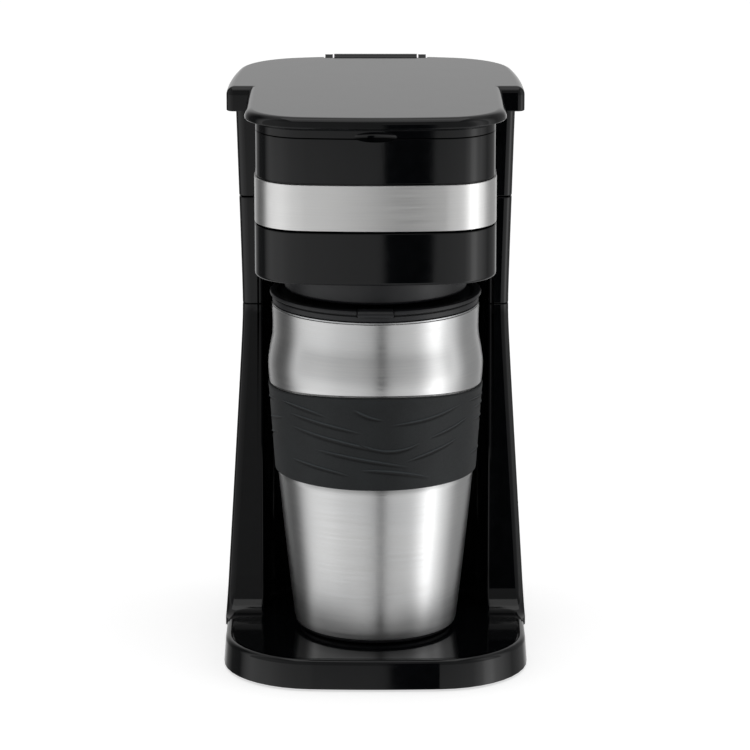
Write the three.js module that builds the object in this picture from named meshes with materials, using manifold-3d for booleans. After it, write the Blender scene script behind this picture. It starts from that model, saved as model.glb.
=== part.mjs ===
// A single-cup drip coffee maker with its travel mug, as separate pieces.
// Millimetres: x runs across, y from front to back, z up from the table.
// The origin is on the table, under the middle of the machine.
import * as THREE from "three";
import { mergeVertices } from "three/addons/utils/BufferGeometryUtils.js";
import Module from "manifold-3d";

const wasm = await Module();
wasm.setup();

// Overall sizes
const machineDepth = 162;
const mugHeight = 135.9;
const mugRadius = 43.6;
const deckTop = 13;

// Walls and clearances
const wall = 2.4;
const gap = 0.3;
const seam = 0.6;
const roomy = 1.2;
const beyond = 400;

// Places from front to back
const deckBeforeMug = 9.9;
const mugToBayWall = 4.9;
const wingDepth = 18.6;
const headOverMug = 0.1;
const mugY = deckBeforeMug + mugRadius - machineDepth / 2;
const bayBack = mugY + mugRadius + mugToBayWall;
const wingFront = bayBack - wingDepth;
const headFront = mugY - mugRadius + headOverMug;

// Half-widths
const mugToBaySide = 2.9;
const wingWidth = 8.2;
const baseFlare = 7.7;
const headOverBay = 1.7;
const bayHalf = mugRadius + mugToBaySide;
const waistHalf = bayHalf + wingWidth;
const baseHalf = waistHalf + baseFlare;
const headHalf = bayHalf + headOverBay;

// Heights, from the deck up
const mugLidRise = 5.2;
const drumOverMug = 1.1;
const drumDrop = 9.4;
const frontBelowBand = 21.6;
const bandHeight = 18.5;
const frontAboveBand = 18.6;
const innerDeckDrop = 5.2;
const mugBottom = deckTop + gap;
const mugRim = mugBottom + mugHeight;
const mugLidTop = mugRim + mugLidRise;
const drumBottom = mugLidTop + drumOverMug;
const headBottom = drumBottom + drumDrop;
const bandBottom = headBottom + frontBelowBand;
const bandTop = bandBottom + bandHeight;
const housingTop = bandTop + frontAboveBand;
const innerDeckTop = housingTop - innerDeckDrop;
const waistZ = mugRim - 11.2;
const lowerSeam = waistZ + 3;

// Column: two wings beside a bay, narrowest at the waist
const waistSoftness = 8;
const taperAbove = 0.029;
const taperBelow = 0.06;
const depthShare = 0.6;
const wingLean = 0.1;
const footRadius = 15;
const sideRadius = 340;
const backRadius = 145;
const backCorner = 30;
const wingEdge = 3.5;
const flat = 1e4;

// Base
const baseFrontRadius = 450;
const baseFrontCorner = 38;
const baseDraft = 0.9;
const rimRadius = 2;
const underside = 0.9;
const bayCorner = 25;

// Head
const headFrontRadius = 250;
const headCorner = 21.5;
const headInset = 0.5;
const bandThickness = 0.8;

// Lid
const lidWall = 2.2;
const lidEdge = 3.4;
const lidSkirt = 2.9;
const lidFlare = 1.8;
const lipDepth = 3.8;
const lipOverhang = 3.8;
const lidSideOverhang = 3.74;
const lidBackOverhang = 2.3;
const lidCheek = 1.6;
const lidStepUp = 2.6;
const lidStepFromBay = 25;
const notchHalf = 10.2;
const skirtBottom = housingTop + gap;
const skirtTop = skirtBottom + lidSkirt;
const lipBottom = skirtTop + lidFlare;
const machineTop = lipBottom + lipDepth;
const lidSideBottom = skirtBottom - lidCheek;
const lidRearBottom = skirtBottom + lidStepUp;
const lidStepY = bayBack + lidStepFromBay;
const lidRearFront = wingFront - 3.4;
const lidRearHalf = columnHalf(lidSideBottom) + lidSideOverhang;
const lidRearBack = columnPlan(lidSideBottom).back + lidBackOverhang;

// Hinge
const barrelRadius = 3.6;
const barrelHalf = 17.6;
const earWidth = 3.2;
const pinRadius = 1.5;
const hingeY = lidRearBack - 2.9;
const hingeZ = machineTop - 2.6;

// Filter
const drumInsideMug = 6.6;
const drumRadius = mugRadius - drumInsideMug;
const drumWall = 1.8;
const deckPlate = 2.4;
const outletRadius = 4;

// Travel mug
const mugWall = 0.8;
const sleeveAboveFoot = 67.1;
const sleeveHeight = 37.1;
const sleeveThickness = 1.2;
const sleeveTaper = 2.5;
const sleeveBottom = mugBottom + sleeveAboveFoot;
const sleeveTop = sleeveBottom + sleeveHeight;
const sleeveBottomRadius = mugRadius - sleeveTaper;
const sleeveTopRadius = mugRadius;

// Water path
const tankWall = 1.8;
const tankBottom = waistZ - 6;
const channelHalf = 8;
const channelBack = bayBack + 19;
const tubeBore = 3;
const tubeOuter = 4.8;
const heaterY = bayBack + 27;
const heaterHalf = 24;
const heaterBottom = deckTop + 33;
const heaterTop = tankBottom - 40;
const legShare = 0.37;

// Switch, on the right-hand side
const switchY = bayBack + 15;
const switchZ = 42;
const switchSink = 1.07;
const switchFace = columnHalf(switchZ) - switchSink;

// Smoothness of round pieces
const mugSides = 32;
const smallSides = 12;
const filterSides = 24;
const tubeSides = 8;

const materials = {
  blackGloss: { color: 0x0d0f12, roughness: 0.12, metalness: 0 },
  blackMatt: { color: 0x1a1b1d, roughness: 0.55, metalness: 0 },
  steel: { color: 0xc9cacb, roughness: 0.3, metalness: 1 },
  aluminium: { color: 0xb9bcc0, roughness: 0.4, metalness: 1 },
  rubber: { color: 0x232729, roughness: 0.75, metalness: 0 },
  silicone: { color: 0xd8d8d4, roughness: 0.5, metalness: 0 },
  whitePlastic: { color: 0xe6e6e2, roughness: 0.45, metalness: 0 },
  wireRed: { color: 0x9c2b22, roughness: 0.5, metalness: 0 },
};

const part = new THREE.Group();
part.name = "drip_coffee_maker";

// Turns a geometry into a solid that can be cut and joined.
function solid(geometry) {
  const bare = new THREE.BufferGeometry();
  bare.setAttribute("position", geometry.getAttribute("position").clone());
  if (geometry.index) bare.setIndex(geometry.index);
  const merged = mergeVertices(bare, 1e-4);
  const mesh = new wasm.Mesh({
    numProp: 3,
    vertProperties: merged.attributes.position.array,
    triVerts: new Uint32Array(merged.index.array),
  });
  return new wasm.Manifold(mesh);
}

// Turns a solid back into a geometry.
function geometryOf(body) {
  const mesh = body.getMesh();
  const geometry = new THREE.BufferGeometry();
  geometry.setAttribute("position", new THREE.BufferAttribute(mesh.vertProperties, 3));
  geometry.setIndex(new THREE.BufferAttribute(mesh.triVerts, 1));
  geometry.computeVertexNormals();
  return geometry;
}

// Adds one named piece to the part.
function piece(name, body, look) {
  const material = new THREE.MeshStandardMaterial({ name: look, ...materials[look] });
  const mesh = new THREE.Mesh(geometryOf(body), material);
  mesh.name = name;
  part.add(mesh);
  return mesh;
}

function join(...bodies) {
  return bodies.reduce((whole, next) => whole.add(next));
}

function cut(body, ...tools) {
  return tools.reduce((rest, tool) => rest.subtract(tool), body);
}

function moved(geometry, x, y, z) {
  return geometry.translate(x, y, z);
}

// A box given by its low and high corners.
function box(low, high) {
  const size = high.map((value, i) => value - low[i]);
  const centre = high.map((value, i) => (value + low[i]) / 2);
  return solid(moved(new THREE.BoxGeometry(...size), ...centre));
}

// A solid of revolution about z, from [radius, z] points that run up the outside.
function turned(profile, sides = mugSides, x = 0, y = 0) {
  const points = profile.map(([radius, z]) => new THREE.Vector2(radius, z));
  const lathe = new THREE.LatheGeometry(points, sides);
  return solid(moved(lathe.rotateX(Math.PI / 2), x, y, 0));
}

// A plain upright cylinder.
function post(radius, bottom, top, x, y, sides = smallSides) {
  return turned([[0, bottom], [radius, bottom], [radius, top], [0, top]], sides, x, y);
}

// A cylinder along x or y.
function bar(axis, radius, low, high, a, b, sides = smallSides) {
  const geometry = new THREE.CylinderGeometry(radius, radius, high - low, sides);
  const middle = (low + high) / 2;
  if (axis === "x") return solid(moved(geometry.rotateZ(Math.PI / 2), middle, a, b));
  return solid(moved(geometry, a, middle, b));
}

// A straight prism from plan points.
function prism(points, bottom, top) {
  return loft([{ points, z: bottom }, { points, z: top }]);
}

// A slab with its outline in the y-z plane, from x = low to x = high.
function sideSlab(shape, low, high) {
  const settings = { depth: high - low, bevelEnabled: false, curveSegments: 6 };
  const extruded = new THREE.ExtrudeGeometry(shape, settings);
  extruded.rotateX(Math.PI / 2).rotateZ(Math.PI / 2);
  return solid(moved(extruded, low, 0, 0));
}

// A skin over a stack of outlines that all have the same number of points.
function loft(rings) {
  const count = rings[0].points.length;
  const position = [];
  const index = [];
  for (const ring of rings) {
    for (const p of ring.points) position.push(p.x, p.y, ring.z);
  }
  for (let r = 0; r < rings.length - 1; r++) {
    for (let i = 0; i < count; i++) {
      const a = r * count + i;
      const b = r * count + ((i + 1) % count);
      index.push(a, b, b + count, a, b + count, a + count);
    }
  }
  const top = (rings.length - 1) * count;
  for (const [a, b, c] of THREE.ShapeUtils.triangulateShape(rings[0].points, [])) {
    index.push(c, b, a);
  }
  for (const [a, b, c] of THREE.ShapeUtils.triangulateShape(rings[rings.length - 1].points, [])) {
    index.push(top + a, top + b, top + c);
  }
  const geometry = new THREE.BufferGeometry();
  geometry.setAttribute("position", new THREE.Float32BufferAttribute(position, 3));
  geometry.setIndex(index);
  return solid(geometry);
}

// Centre of the corner circle that touches two circles from inside.
function cornerCentre(one, two, radius, frontOrBack) {
  const reachOne = one.radius - radius;
  const reachTwo = two.radius - radius;
  const dx = two.x - one.x;
  const dy = two.y - one.y;
  const distance = Math.hypot(dx, dy);
  const along = (reachOne ** 2 - reachTwo ** 2 + distance ** 2) / (2 * distance);
  const across = Math.sqrt(reachOne ** 2 - along ** 2);
  const candidates = [1, -1].map((sign) => ({
    x: one.x + (along * dx - sign * across * dy) / distance,
    y: one.y + (along * dy + sign * across * dx) / distance,
  }));
  candidates.sort((p, q) => q.x + frontOrBack * q.y - (p.x + frontOrBack * p.y));
  return candidates[0];
}

// Plan outline, counter-clockwise from the front centre: a bowed front, straight sides as far back
// as "widest", then bowed sides and a bowed back, with a round corner between each.
function outline(plan) {
  const front = { x: 0, y: plan.front + plan.frontRadius, radius: plan.frontRadius };
  const back = { x: 0, y: plan.back - plan.backRadius, radius: plan.backRadius };
  const nearX = plan.half - plan.frontCorner;
  const nearReach = plan.frontRadius - plan.frontCorner;
  const near = { x: nearX, y: front.y - Math.sqrt(nearReach ** 2 - nearX ** 2) };
  const widest = Math.max(plan.widest, near.y + 0.5);
  const side = { x: plan.half - plan.side, y: widest, radius: plan.side };
  const far = cornerCentre(side, back, plan.backCorner, 1);
  const nearAngle = Math.atan2(near.y - front.y, near.x);
  const sideAngle = Math.atan2(far.y - side.y, far.x - side.x);
  const backAngle = Math.atan2(far.y - back.y, far.x - back.x);
  const half = [];
  const arc = (centre, radius, from, to, steps, skipLast) => {
    for (let i = 0; i <= steps - (skipLast ? 1 : 0); i++) {
      const angle = from + ((to - from) * i) / steps;
      half.push(new THREE.Vector2(centre.x + radius * Math.cos(angle), centre.y + radius * Math.sin(angle)));
    }
  };
  arc(front, plan.frontRadius, -Math.PI / 2, nearAngle, 3, true);
  arc(near, plan.frontCorner, nearAngle, 0, 5, false);
  arc(side, plan.side, 0, sideAngle, 3, true);
  arc(far, plan.backCorner, sideAngle, backAngle, 4, true);
  arc(back, plan.backRadius, backAngle, Math.PI / 2, 3, false);
  const mirrored = half.slice(1, -1).reverse().map((p) => new THREE.Vector2(-p.x, p.y));
  return [...half, ...mirrored];
}

// The same plan moved inwards all round by a distance.
function inset(plan, by) {
  return {
    ...plan,
    half: plan.half - by,
    front: plan.front + by,
    back: plan.back - by,
    side: plan.side - by,
    frontRadius: plan.frontRadius - by,
    backRadius: plan.backRadius - by,
    frontCorner: Math.max(plan.frontCorner - by, 1),
    backCorner: Math.max(plan.backCorner - by, 1),
  };
}

// Insets and drops of a rounded edge, from the wall to the face.
function roundedEdge(radius, steps) {
  return Array.from({ length: steps + 1 }, (_, i) => {
    const angle = (i / steps) * (Math.PI / 2);
    return { in: radius * (1 - Math.cos(angle)), up: radius * Math.sin(angle) };
  });
}

// Half-width of the column at a height.
function columnHalf(z) {
  const d = Math.max(z, deckTop) - waistZ;
  const mean = (taperAbove - taperBelow) / 2;
  const spread = (taperAbove + taperBelow) / 2;
  return Math.min(waistHalf + mean * d + spread * Math.hypot(d, waistSoftness), baseHalf);
}

// Front of the wings at a height: upright above the waist and leaning forward below it.
function wingFrontAt(z) {
  return wingFront - wingLean * Math.max(0, waistZ - Math.max(z, deckTop + footRadius));
}

// How far the foot radius sweeps the front of the wings forward on to the deck.
function footSweep(z) {
  const low = Math.max(0, deckTop + footRadius - Math.max(z, deckTop));
  return footRadius - Math.sqrt(footRadius ** 2 - low ** 2);
}

function columnPlan(z) {
  const half = columnHalf(z);
  return {
    half,
    widest: wingFront + wingEdge,
    front: wingFrontAt(z),
    back: machineDepth / 2 - depthShare * (baseHalf - half),
    side: sideRadius,
    frontRadius: flat,
    backRadius,
    frontCorner: wingEdge,
    backCorner,
  };
}

const basePlan = {
  ...columnPlan(0),
  front: -machineDepth / 2,
  frontRadius: baseFrontRadius,
  frontCorner: baseFrontCorner,
};

const headPlan = {
  half: headHalf,
  widest: 0,
  front: headFront,
  back: wingFront + 2 * wall + 4,
  side: flat,
  frontRadius: headFrontRadius,
  backRadius: flat,
  frontCorner: headCorner,
  backCorner: 1,
};

const bayPlan = {
  ...headPlan,
  half: bayHalf,
  widest: headFront,
  front: -machineDepth,
  frontRadius: flat,
  frontCorner: 1,
  back: bayBack,
  backCorner: bayCorner,
};

const lidRearPlan = {
  half: lidRearHalf,
  widest: lidRearFront,
  front: lidRearFront,
  back: lidRearBack,
  side: sideRadius,
  frontRadius: flat,
  backRadius,
  frontCorner: 3,
  backCorner: backCorner + 2,
};

const lidFrontPlan = {
  ...inset(headPlan, -lipOverhang),
  back: lidStepY,
  backCorner: 12,
};

function ring(plan, z) {
  return { points: outline(plan), z };
}

// Column skin between two heights, moved inwards by a distance.
function column(bottom, top, by, steps) {
  const levels = Array.from({ length: steps + 1 }, (_, i) => bottom + ((top - bottom) * i) / steps);
  return loft(levels.map((z) => ring(inset(columnPlan(z), by), z)));
}

// ---- Housing ----

// Deck block with a slight draft, its top edge rounded.
function baseBlock(by, bottom, top, edge) {
  const drafted = (z) => inset(basePlan, by + (baseDraft * z) / deckTop);
  const start = top - edge;
  const rounded = roundedEdge(edge, 3).map((e) => ring(inset(drafted(start + e.up), e.in), start + e.up));
  return loft([ring(drafted(bottom), bottom), ...rounded]);
}

// The swept foot needs closer levels than the wall above it.
function footedColumn(top) {
  const foot = [0, 0.06, 0.2, 0.45, 1].map((share) => deckTop + footRadius * share);
  const above = [waistZ - 55, waistZ - 10, top];
  const levels = [deckTop - 3, ...foot, ...above];
  return loft(
    levels.map((z) => {
      const plan = columnPlan(z);
      return ring({ ...plan, front: plan.front - footSweep(z) }, z);
    }),
  );
}

const bossPlaces = [
  [-bayHalf + 2.5, mugY - 10.5],
  [bayHalf - 2.5, mugY - 10.5],
  [-bayHalf + 6.5, machineDepth / 2 - 23],
  [bayHalf - 6.5, machineDepth / 2 - 23],
];
const bossRadius = 3.6;
const screwRadius = 1.4;
const plateBottom = underside + gap;
const plateThickness = 1.8;
const plateTop = plateBottom + plateThickness;
const glandX = -24;
const glandZ = 22;
const glandRadius = 4.5;
const glandFace = machineDepth / 2 - 1.8;

const padHalfLong = 13;
const padHalfTall = 10;
const switchHalfLong = 8.5;
const switchHalfTall = 6;
const glandSeatRadius = 7.2;
const ventY = 34;
const ventLength = 28;
const ventHalf = 1.5;
const ventPitch = 9;

function lowerHousing() {
  const outer = join(
    baseBlock(0, underside, deckTop, rimRadius),
    cut(footedColumn(lowerSeam), prism(outline(bayPlan), deckTop, lowerSeam + 1)),
  );
  const bayWall = prism(outline(inset(bayPlan, -wall)), deckTop - wall, lowerSeam + 2);
  const inside = join(
    baseBlock(wall, underside - 1, deckTop - wall, 1),
    cut(column(deckTop - 4, lowerSeam + 1, wall, 4), bayWall),
  );
  const padLow = switchY - padHalfLong;
  const padHigh = switchY + padHalfLong;
  const padBottom = switchZ - padHalfTall;
  const padTop = switchZ + padHalfTall;
  const pad = box([switchFace - 6, padLow, padBottom], [switchFace, padHigh, padTop]);
  const padFace = box([switchFace, padLow, padBottom], [beyond, padHigh, padTop]);
  const switchHole = box(
    [switchFace - 19, switchY - switchHalfLong, switchZ - switchHalfTall],
    [switchFace + 5, switchY + switchHalfLong, switchZ + switchHalfTall],
  );
  const bosses = bossPlaces.map(([x, y]) => post(bossRadius, plateTop + gap, deckTop - 1, x, y, 12));
  const ribs = [-1, 1].map((side) => {
    const [x, y] = bossPlaces[3];
    const xs = [side * x, side * (baseHalf - wall - 5.5)].sort((a, b) => a - b);
    return box([xs[0], y - 1, plateTop + gap], [xs[1], y + 1, deckTop - 1]);
  });
  const pilots = bossPlaces.map(([x, y]) => post(screwRadius + gap, 0, deckTop - wall - 0.6, x, y, 12));
  const glandSeat = bar("y", glandSeatRadius, glandFace, machineDepth, glandX, glandZ);
  const glandHole = bar("y", glandRadius + gap, glandFace - 19, machineDepth, glandX, glandZ);
  const whole = join(cut(outer, inside), pad, ...bosses, ...ribs);
  return cut(whole, padFace, switchHole, ...pilots, glandSeat, glandHole);
}

function midHousing() {
  const bottom = lowerSeam + seam / 2;
  const top = bandBottom - seam;
  const underEdge = 1.4;
  const start = headBottom + underEdge;
  const headRings = roundedEdge(underEdge, 3).map((e) => ring(inset(headPlan, e.in), start - e.up));
  const outer = join(
    cut(column(bottom, top, 0, 3), prism(outline(bayPlan), 0, headBottom)),
    loft([...headRings.reverse(), ring(headPlan, top)]),
  );
  const bayWall = prism(outline(inset(bayPlan, -wall)), 0, headBottom + wall);
  const inside = join(
    cut(column(bottom - 1, top + 1, wall, 3), bayWall),
    prism(outline({ ...inset(headPlan, wall), back: headPlan.back }), headBottom + wall, top + 1),
  );
  const drumHole = post(drumRadius + 0.6, 0, top, 0, mugY, mugSides);
  return cut(outer, inside, drumHole);
}

const bandRecess = bandThickness + gap;

// The tank's outline follows the column's inside, with a flat front behind the bay.
function tankBlock(by, bottom, top) {
  const fit = wall + roomy;
  const round = prism(outline(inset(columnPlan(waistZ), fit + by)), bottom, top);
  const front = bayBack + wall + roomy + by;
  return cut(round, box([-machineDepth, -machineDepth, bottom - 1], [machineDepth, front, top + 1]));
}

function tankChannel(by, bottom, top) {
  const front = bayBack;
  return box([-channelHalf - by, front, bottom], [channelHalf + by, channelBack + by, top]);
}

function fingerScoop() {
  const scoop = new THREE.SphereGeometry(1, 16, 8).scale(notchHalf, 3.4, 2.5);
  return solid(moved(scoop, 0, headFront - 1.3, skirtBottom + 0.5));
}

function hingeEar(side) {
  const low = side > 0 ? barrelHalf + 2 * gap : -barrelHalf - 2 * gap - earWidth;
  const radius = barrelRadius - 0.2;
  const shape = new THREE.Shape();
  shape.moveTo(hingeY - radius, innerDeckTop);
  shape.lineTo(hingeY + 0.2, innerDeckTop);
  shape.lineTo(hingeY + radius, hingeZ - 3);
  shape.lineTo(hingeY + radius, hingeZ);
  shape.absarc(hingeY, hingeZ, radius, 0, Math.PI, false);
  shape.closePath();
  return sideSlab(shape, low, low + earWidth);
}

function topHousing() {
  const shell = inset(headPlan, headInset);
  const recess = inset(headPlan, bandRecess);
  const headRings = [
    ring(recess, bandBottom),
    ring(recess, bandTop + seam),
    ring(shell, bandTop + seam),
    ring(shell, housingTop),
  ];
  const rearRim = cut(
    column(housingTop - 2, lidRearBottom - 1.4, 0, 1),
    box([-beyond, -beyond, 0], [beyond, lidStepY + 6, beyond]),
  );
  const outer = join(column(bandBottom, housingTop, 0, 2), loft(headRings), rearRim);
  const headInner = { ...inset(headPlan, wall + bandRecess), back: headPlan.back };
  const inside = join(
    column(bandBottom - 1, lidRearBottom, wall, 2),
    prism(outline(headInner), bandBottom - 1, housingTop + 1),
  );
  const plateBottomZ = innerDeckTop - deckPlate;
  const plateFront = outline({ ...inset(headPlan, wall), back: headPlan.back });
  const plateBody = join(
    column(plateBottomZ, innerDeckTop, wall - 0.5, 1),
    prism(plateFront, plateBottomZ, innerDeckTop),
  );
  const filterHole = post(drumRadius + 2 * gap, bandTop, beyond, 0, mugY, mugSides);
  const tankHole = tankBlock(-0.5, bandTop, innerDeckTop + 0.5);
  const ears = [-1, 1].map((side) => hingeEar(side));
  const pinHole = bar("x", pinRadius + gap, -30, 30, hingeY, hingeZ);
  return cut(
    join(cut(outer, inside), cut(plateBody, filterHole, tankHole), ...ears),
    pinHole,
    fingerScoop(),
  );
}

function headBand() {
  const outer = prism(outline(headPlan), bandBottom + seam / 2, bandTop);
  const innerPlan = { ...inset(headPlan, bandThickness), back: headPlan.back };
  const inner = prism(outline(innerPlan), bandBottom - 1, bandTop + 1);
  const behind = box([-beyond, wingFront - gap, 0], [beyond, beyond, beyond]);
  return cut(outer, inner, behind);
}

function bottomPlate() {
  const edge = wall + gap;
  const plate = prism(outline(inset(basePlan, edge + baseDraft)), plateBottom, plateTop);
  const screwHoles = bossPlaces.map(([x, y]) => post(screwRadius + gap, 0, 9, x, y, 12));
  const sinks = bossPlaces.map(([x, y]) => post(3.2 + gap, 0, plateBottom + 1, x, y, 12));
  const stems = footPlaces.map(([x, y]) => post(footStem + gap, 0, 9, x, y, 12));
  const vents = [-2, -1, 0, 1, 2].map((i) => {
    const x = i * ventPitch;
    return box([x - ventHalf, ventY, 0], [x + ventHalf, ventY + ventLength, deckTop - 4]);
  });
  return cut(plate, ...screwHoles, ...sinks, ...stems, ...vents);
}

const footPlaces = [
  [-bayHalf + 0.5, mugY + 5.5],
  [bayHalf - 0.5, mugY + 5.5],
  [-bayHalf + 18.5, machineDepth / 2 - 15],
  [bayHalf - 18.5, machineDepth / 2 - 15],
];
const footRadiusRubber = 7;
const footStem = 2.4;

function rubberFoot(x, y) {
  const profile = [
    [0, 0],
    [footRadiusRubber - 0.6, 0],
    [footRadiusRubber, 0.6],
    [footRadiusRubber, plateBottom - gap],
    [footStem, plateBottom - gap],
    [footStem, plateTop + 1],
    [0, plateTop + 1],
  ];
  return turned(profile, smallSides, x, y);
}

function screw(x, y) {
  const headTop = plateBottom + 1 - gap;
  const profile = [
    [0, plateBottom - 1],
    [3.2, plateBottom - 1],
    [3.2, headTop],
    [screwRadius, headTop],
    [screwRadius, deckTop - wall - 1.6],
    [0, deckTop - wall - 1.2],
  ];
  const slot = box([x - 2, y - 0.4, 0], [x + 2, y + 0.4, plateBottom - 0.5]);
  return cut(turned(profile, 12, x, y), slot);
}

piece("lower_housing", lowerHousing(), "blackGloss");
piece("mid_housing", midHousing(), "blackGloss");
piece("top_housing", topHousing(), "blackGloss");
piece("head_band", headBand(), "steel");
piece("bottom_plate", bottomPlate(), "blackMatt");
footPlaces.forEach(([x, y], i) => piece(`foot_${i + 1}`, rubberFoot(x, y), "rubber"));
bossPlaces.forEach(([x, y], i) => piece(`bottom_screw_${i + 1}`, screw(x, y), "steel"));

// ---- Lid and hinge ----

function lidBody() {
  const topEdge = roundedEdge(lidEdge, 3);
  const tongueEdge = (z) => topEdge.map((e) => ring(inset(lidFrontPlan, e.in), z - lidEdge + e.up));
  const skirtPlan = { ...inset(lidFrontPlan, lipOverhang + headInset), back: lidFrontPlan.back };
  const tongue = loft([
    ring(skirtPlan, skirtBottom),
    ring(skirtPlan, skirtTop),
    ring(lidFrontPlan, lipBottom),
    ...tongueEdge(machineTop),
  ]);
  const rear = loft([
    ring(lidRearPlan, lidSideBottom),
    ...topEdge.map((e) => ring({ ...inset(lidRearPlan, e.in) }, machineTop - lidEdge + e.up)),
  ]);
  const step = new THREE.Shape();
  step.moveTo(lidStepY, bandTop);
  step.lineTo(lidStepY, lidSideBottom);
  step.lineTo(lidStepY + lidRearBottom - lidSideBottom, lidRearBottom);
  step.lineTo(machineDepth, lidRearBottom);
  step.lineTo(machineDepth, bandTop);
  step.closePath();
  const ceiling = machineTop - lidWall;
  const tongueInside = prism(outline(inset(skirtPlan, lidWall)), bandTop, ceiling);
  const rearInside = prism(outline(inset(lidRearPlan, lidWall)), bandTop, ceiling);
  const roomPlan = { ...inset(headPlan, headInset - roomy), back: lidStepY };
  const headRoom = prism(outline(roomPlan), bandTop, skirtBottom);
  const below = sideSlab(step, -beyond, beyond);
  const opened = cut(join(tongue, rear), tongueInside, rearInside, headRoom, below);
  const barrel = bar("x", barrelRadius, -barrelHalf, barrelHalf, hingeY, hingeZ, 20);
  const earSlots = [-1, 1].map((side) => {
    const near = side * barrelHalf;
    const far = side * (barrelHalf + earWidth + 4 * gap);
    const low = [Math.min(near, far), hingeY - barrelRadius - gap, bandTop];
    return box(low, [Math.max(near, far), machineDepth, beyond]);
  });
  const pinHole = bar("x", pinRadius + gap, -30, 30, hingeY, hingeZ);
  return cut(join(opened, barrel), ...earSlots, pinHole, fingerScoop());
}

const nozzleMouthY = mugY + drumRadius + 5;
const coverBottom = skirtBottom + 0.4;
const coverTop = coverBottom + 1.5;

function lidInnerCover() {
  const tonguePlan = inset(lidFrontPlan, lipOverhang + headInset + lidWall + gap);
  const rearPlan = {
    ...inset(columnPlan(coverTop), wall + 2 * gap),
    front: lidRearFront + 2 * lidWall + roomy,
    back: lidRearBack - 14,
    backCorner: 18,
  };
  const front = prism(outline({ ...tonguePlan, back: lidStepY }), coverBottom, coverTop);
  return join(front, prism(outline(rearPlan), coverBottom, coverTop));
}

function showerHead() {
  const top = coverBottom - gap;
  const bottom = top - 1.6;
  const disc = post(20, bottom, top, 0, mugY, 20);
  const channel = box([-5, mugY, bottom], [5, nozzleMouthY - 2.5, top]);
  const holes = Array.from({ length: 8 }, (_, i) => {
    const angle = (i / 8) * 2 * Math.PI;
    return post(1.2, 0, beyond, 13 * Math.cos(angle), mugY + 13 * Math.sin(angle), 6);
  });
  return cut(join(disc, channel), ...holes);
}

piece("lid", lidBody(), "blackGloss");
piece("lid_inner_cover", lidInnerCover(), "blackMatt");
piece("shower_head", showerHead(), "blackMatt");
const pinHalf = barrelHalf + 2 * gap + earWidth - gap;
piece("hinge_pin", bar("x", pinRadius, -pinHalf, pinHalf, hingeY, hingeZ, 12), "steel");

// ---- Filter ----

const holderFlange = innerDeckTop + gap;
const holderRim = holderFlange + 1.5;

function filterHolder() {
  const inner = drumRadius - drumWall;
  const floor = drumBottom + 2;
  return turned(
    [
      [outletRadius, drumBottom],
      [drumRadius - 1.5, drumBottom],
      [drumRadius, drumBottom + 1.5],
      [drumRadius, holderFlange],
      [drumRadius + 2.6, holderFlange],
      [drumRadius + 2.6, holderRim],
      [inner, holderRim],
      [inner, floor + 5],
      [outletRadius, floor],
      [outletRadius, drumBottom],
    ],
    mugSides,
    0,
    mugY,
  );
}

const filterTop = holderRim + gap;
const filterRadius = drumRadius - drumWall - gap;
const cupTopRadius = drumRadius - 6;
const cupBottomRadius = drumRadius - 14;
const cupBottom = drumBottom + 20.5;

function filterFrame() {
  const rim = turned(
    [
      [cupTopRadius, filterTop],
      [filterRadius + 2, filterTop],
      [filterRadius + 2, filterTop + 1.3],
      [cupTopRadius, filterTop + 1.3],
      [cupTopRadius, filterTop],
    ],
    filterSides,
    0,
    mugY,
  );
  const foot = turned(
    [
      [cupBottomRadius, cupBottom],
      [cupBottomRadius + 1.6, cupBottom],
      [cupBottomRadius + 1.6, cupBottom + 4],
      [cupBottomRadius, cupBottom + 4],
      [cupBottomRadius, cupBottom],
    ],
    filterSides,
    0,
    mugY,
  );
  const ribs = [0, 1, 2, 3].map((i) => {
    const shape = new THREE.Shape();
    shape.moveTo(cupBottomRadius + 0.3, cupBottom);
    shape.lineTo(cupBottomRadius + 1.6, cupBottom);
    shape.lineTo(cupTopRadius + 2.4, filterTop + 0.5);
    shape.lineTo(cupTopRadius + 0.6, filterTop + 0.5);
    shape.closePath();
    const rib = new THREE.ExtrudeGeometry(shape, { depth: 2, bevelEnabled: false });
    rib.translate(0, 0, -1).rotateX(Math.PI / 2).rotateZ(((i + 0.5) * Math.PI) / 2);
    return solid(moved(rib, 0, mugY, 0));
  });
  return join(rim, foot, ...ribs);
}

function filterMesh() {
  const thin = 0.5;
  const slack = gap + 0.4;
  return turned(
    [
      [0, cupBottom + 1],
      [cupBottomRadius - slack, cupBottom + 1],
      [cupTopRadius - slack, filterTop + 1],
      [cupTopRadius - slack - thin, filterTop + 1],
      [cupBottomRadius - slack - thin, cupBottom + 1 + thin],
      [0, cupBottom + 1 + thin],
    ],
    filterSides,
    0,
    mugY,
  );
}

piece("filter_holder", filterHolder(), "blackMatt");
piece("filter_frame", filterFrame(), "blackMatt");
piece("filter_mesh", filterMesh(), "steel");

// ---- Water path ----

const spigotX = -heaterHalf;
const spigotRadius = tubeBore - gap;
const spigotBottom = tankBottom - 9;

function waterTank() {
  const top = holderFlange + 1.6;
  const body = cut(tankBlock(0, tankBottom, holderFlange + 0.5), tankChannel(0, 0, beyond));
  const inside = cut(tankBlock(tankWall, tankBottom + 2, beyond), tankChannel(tankWall, 0, beyond));
  const rim = cut(tankBlock(0.2 - roomy, holderFlange, top), tankChannel(-0.6, 0, beyond));
  const spigot = post(spigotRadius, spigotBottom, tankBottom + 1, spigotX, heaterY, 12);
  const bore = post(spigotRadius - 1.2, spigotBottom - 1, tankBottom + 5, spigotX, heaterY, 12);
  return cut(join(body, rim, spigot), inside, bore);
}

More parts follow.
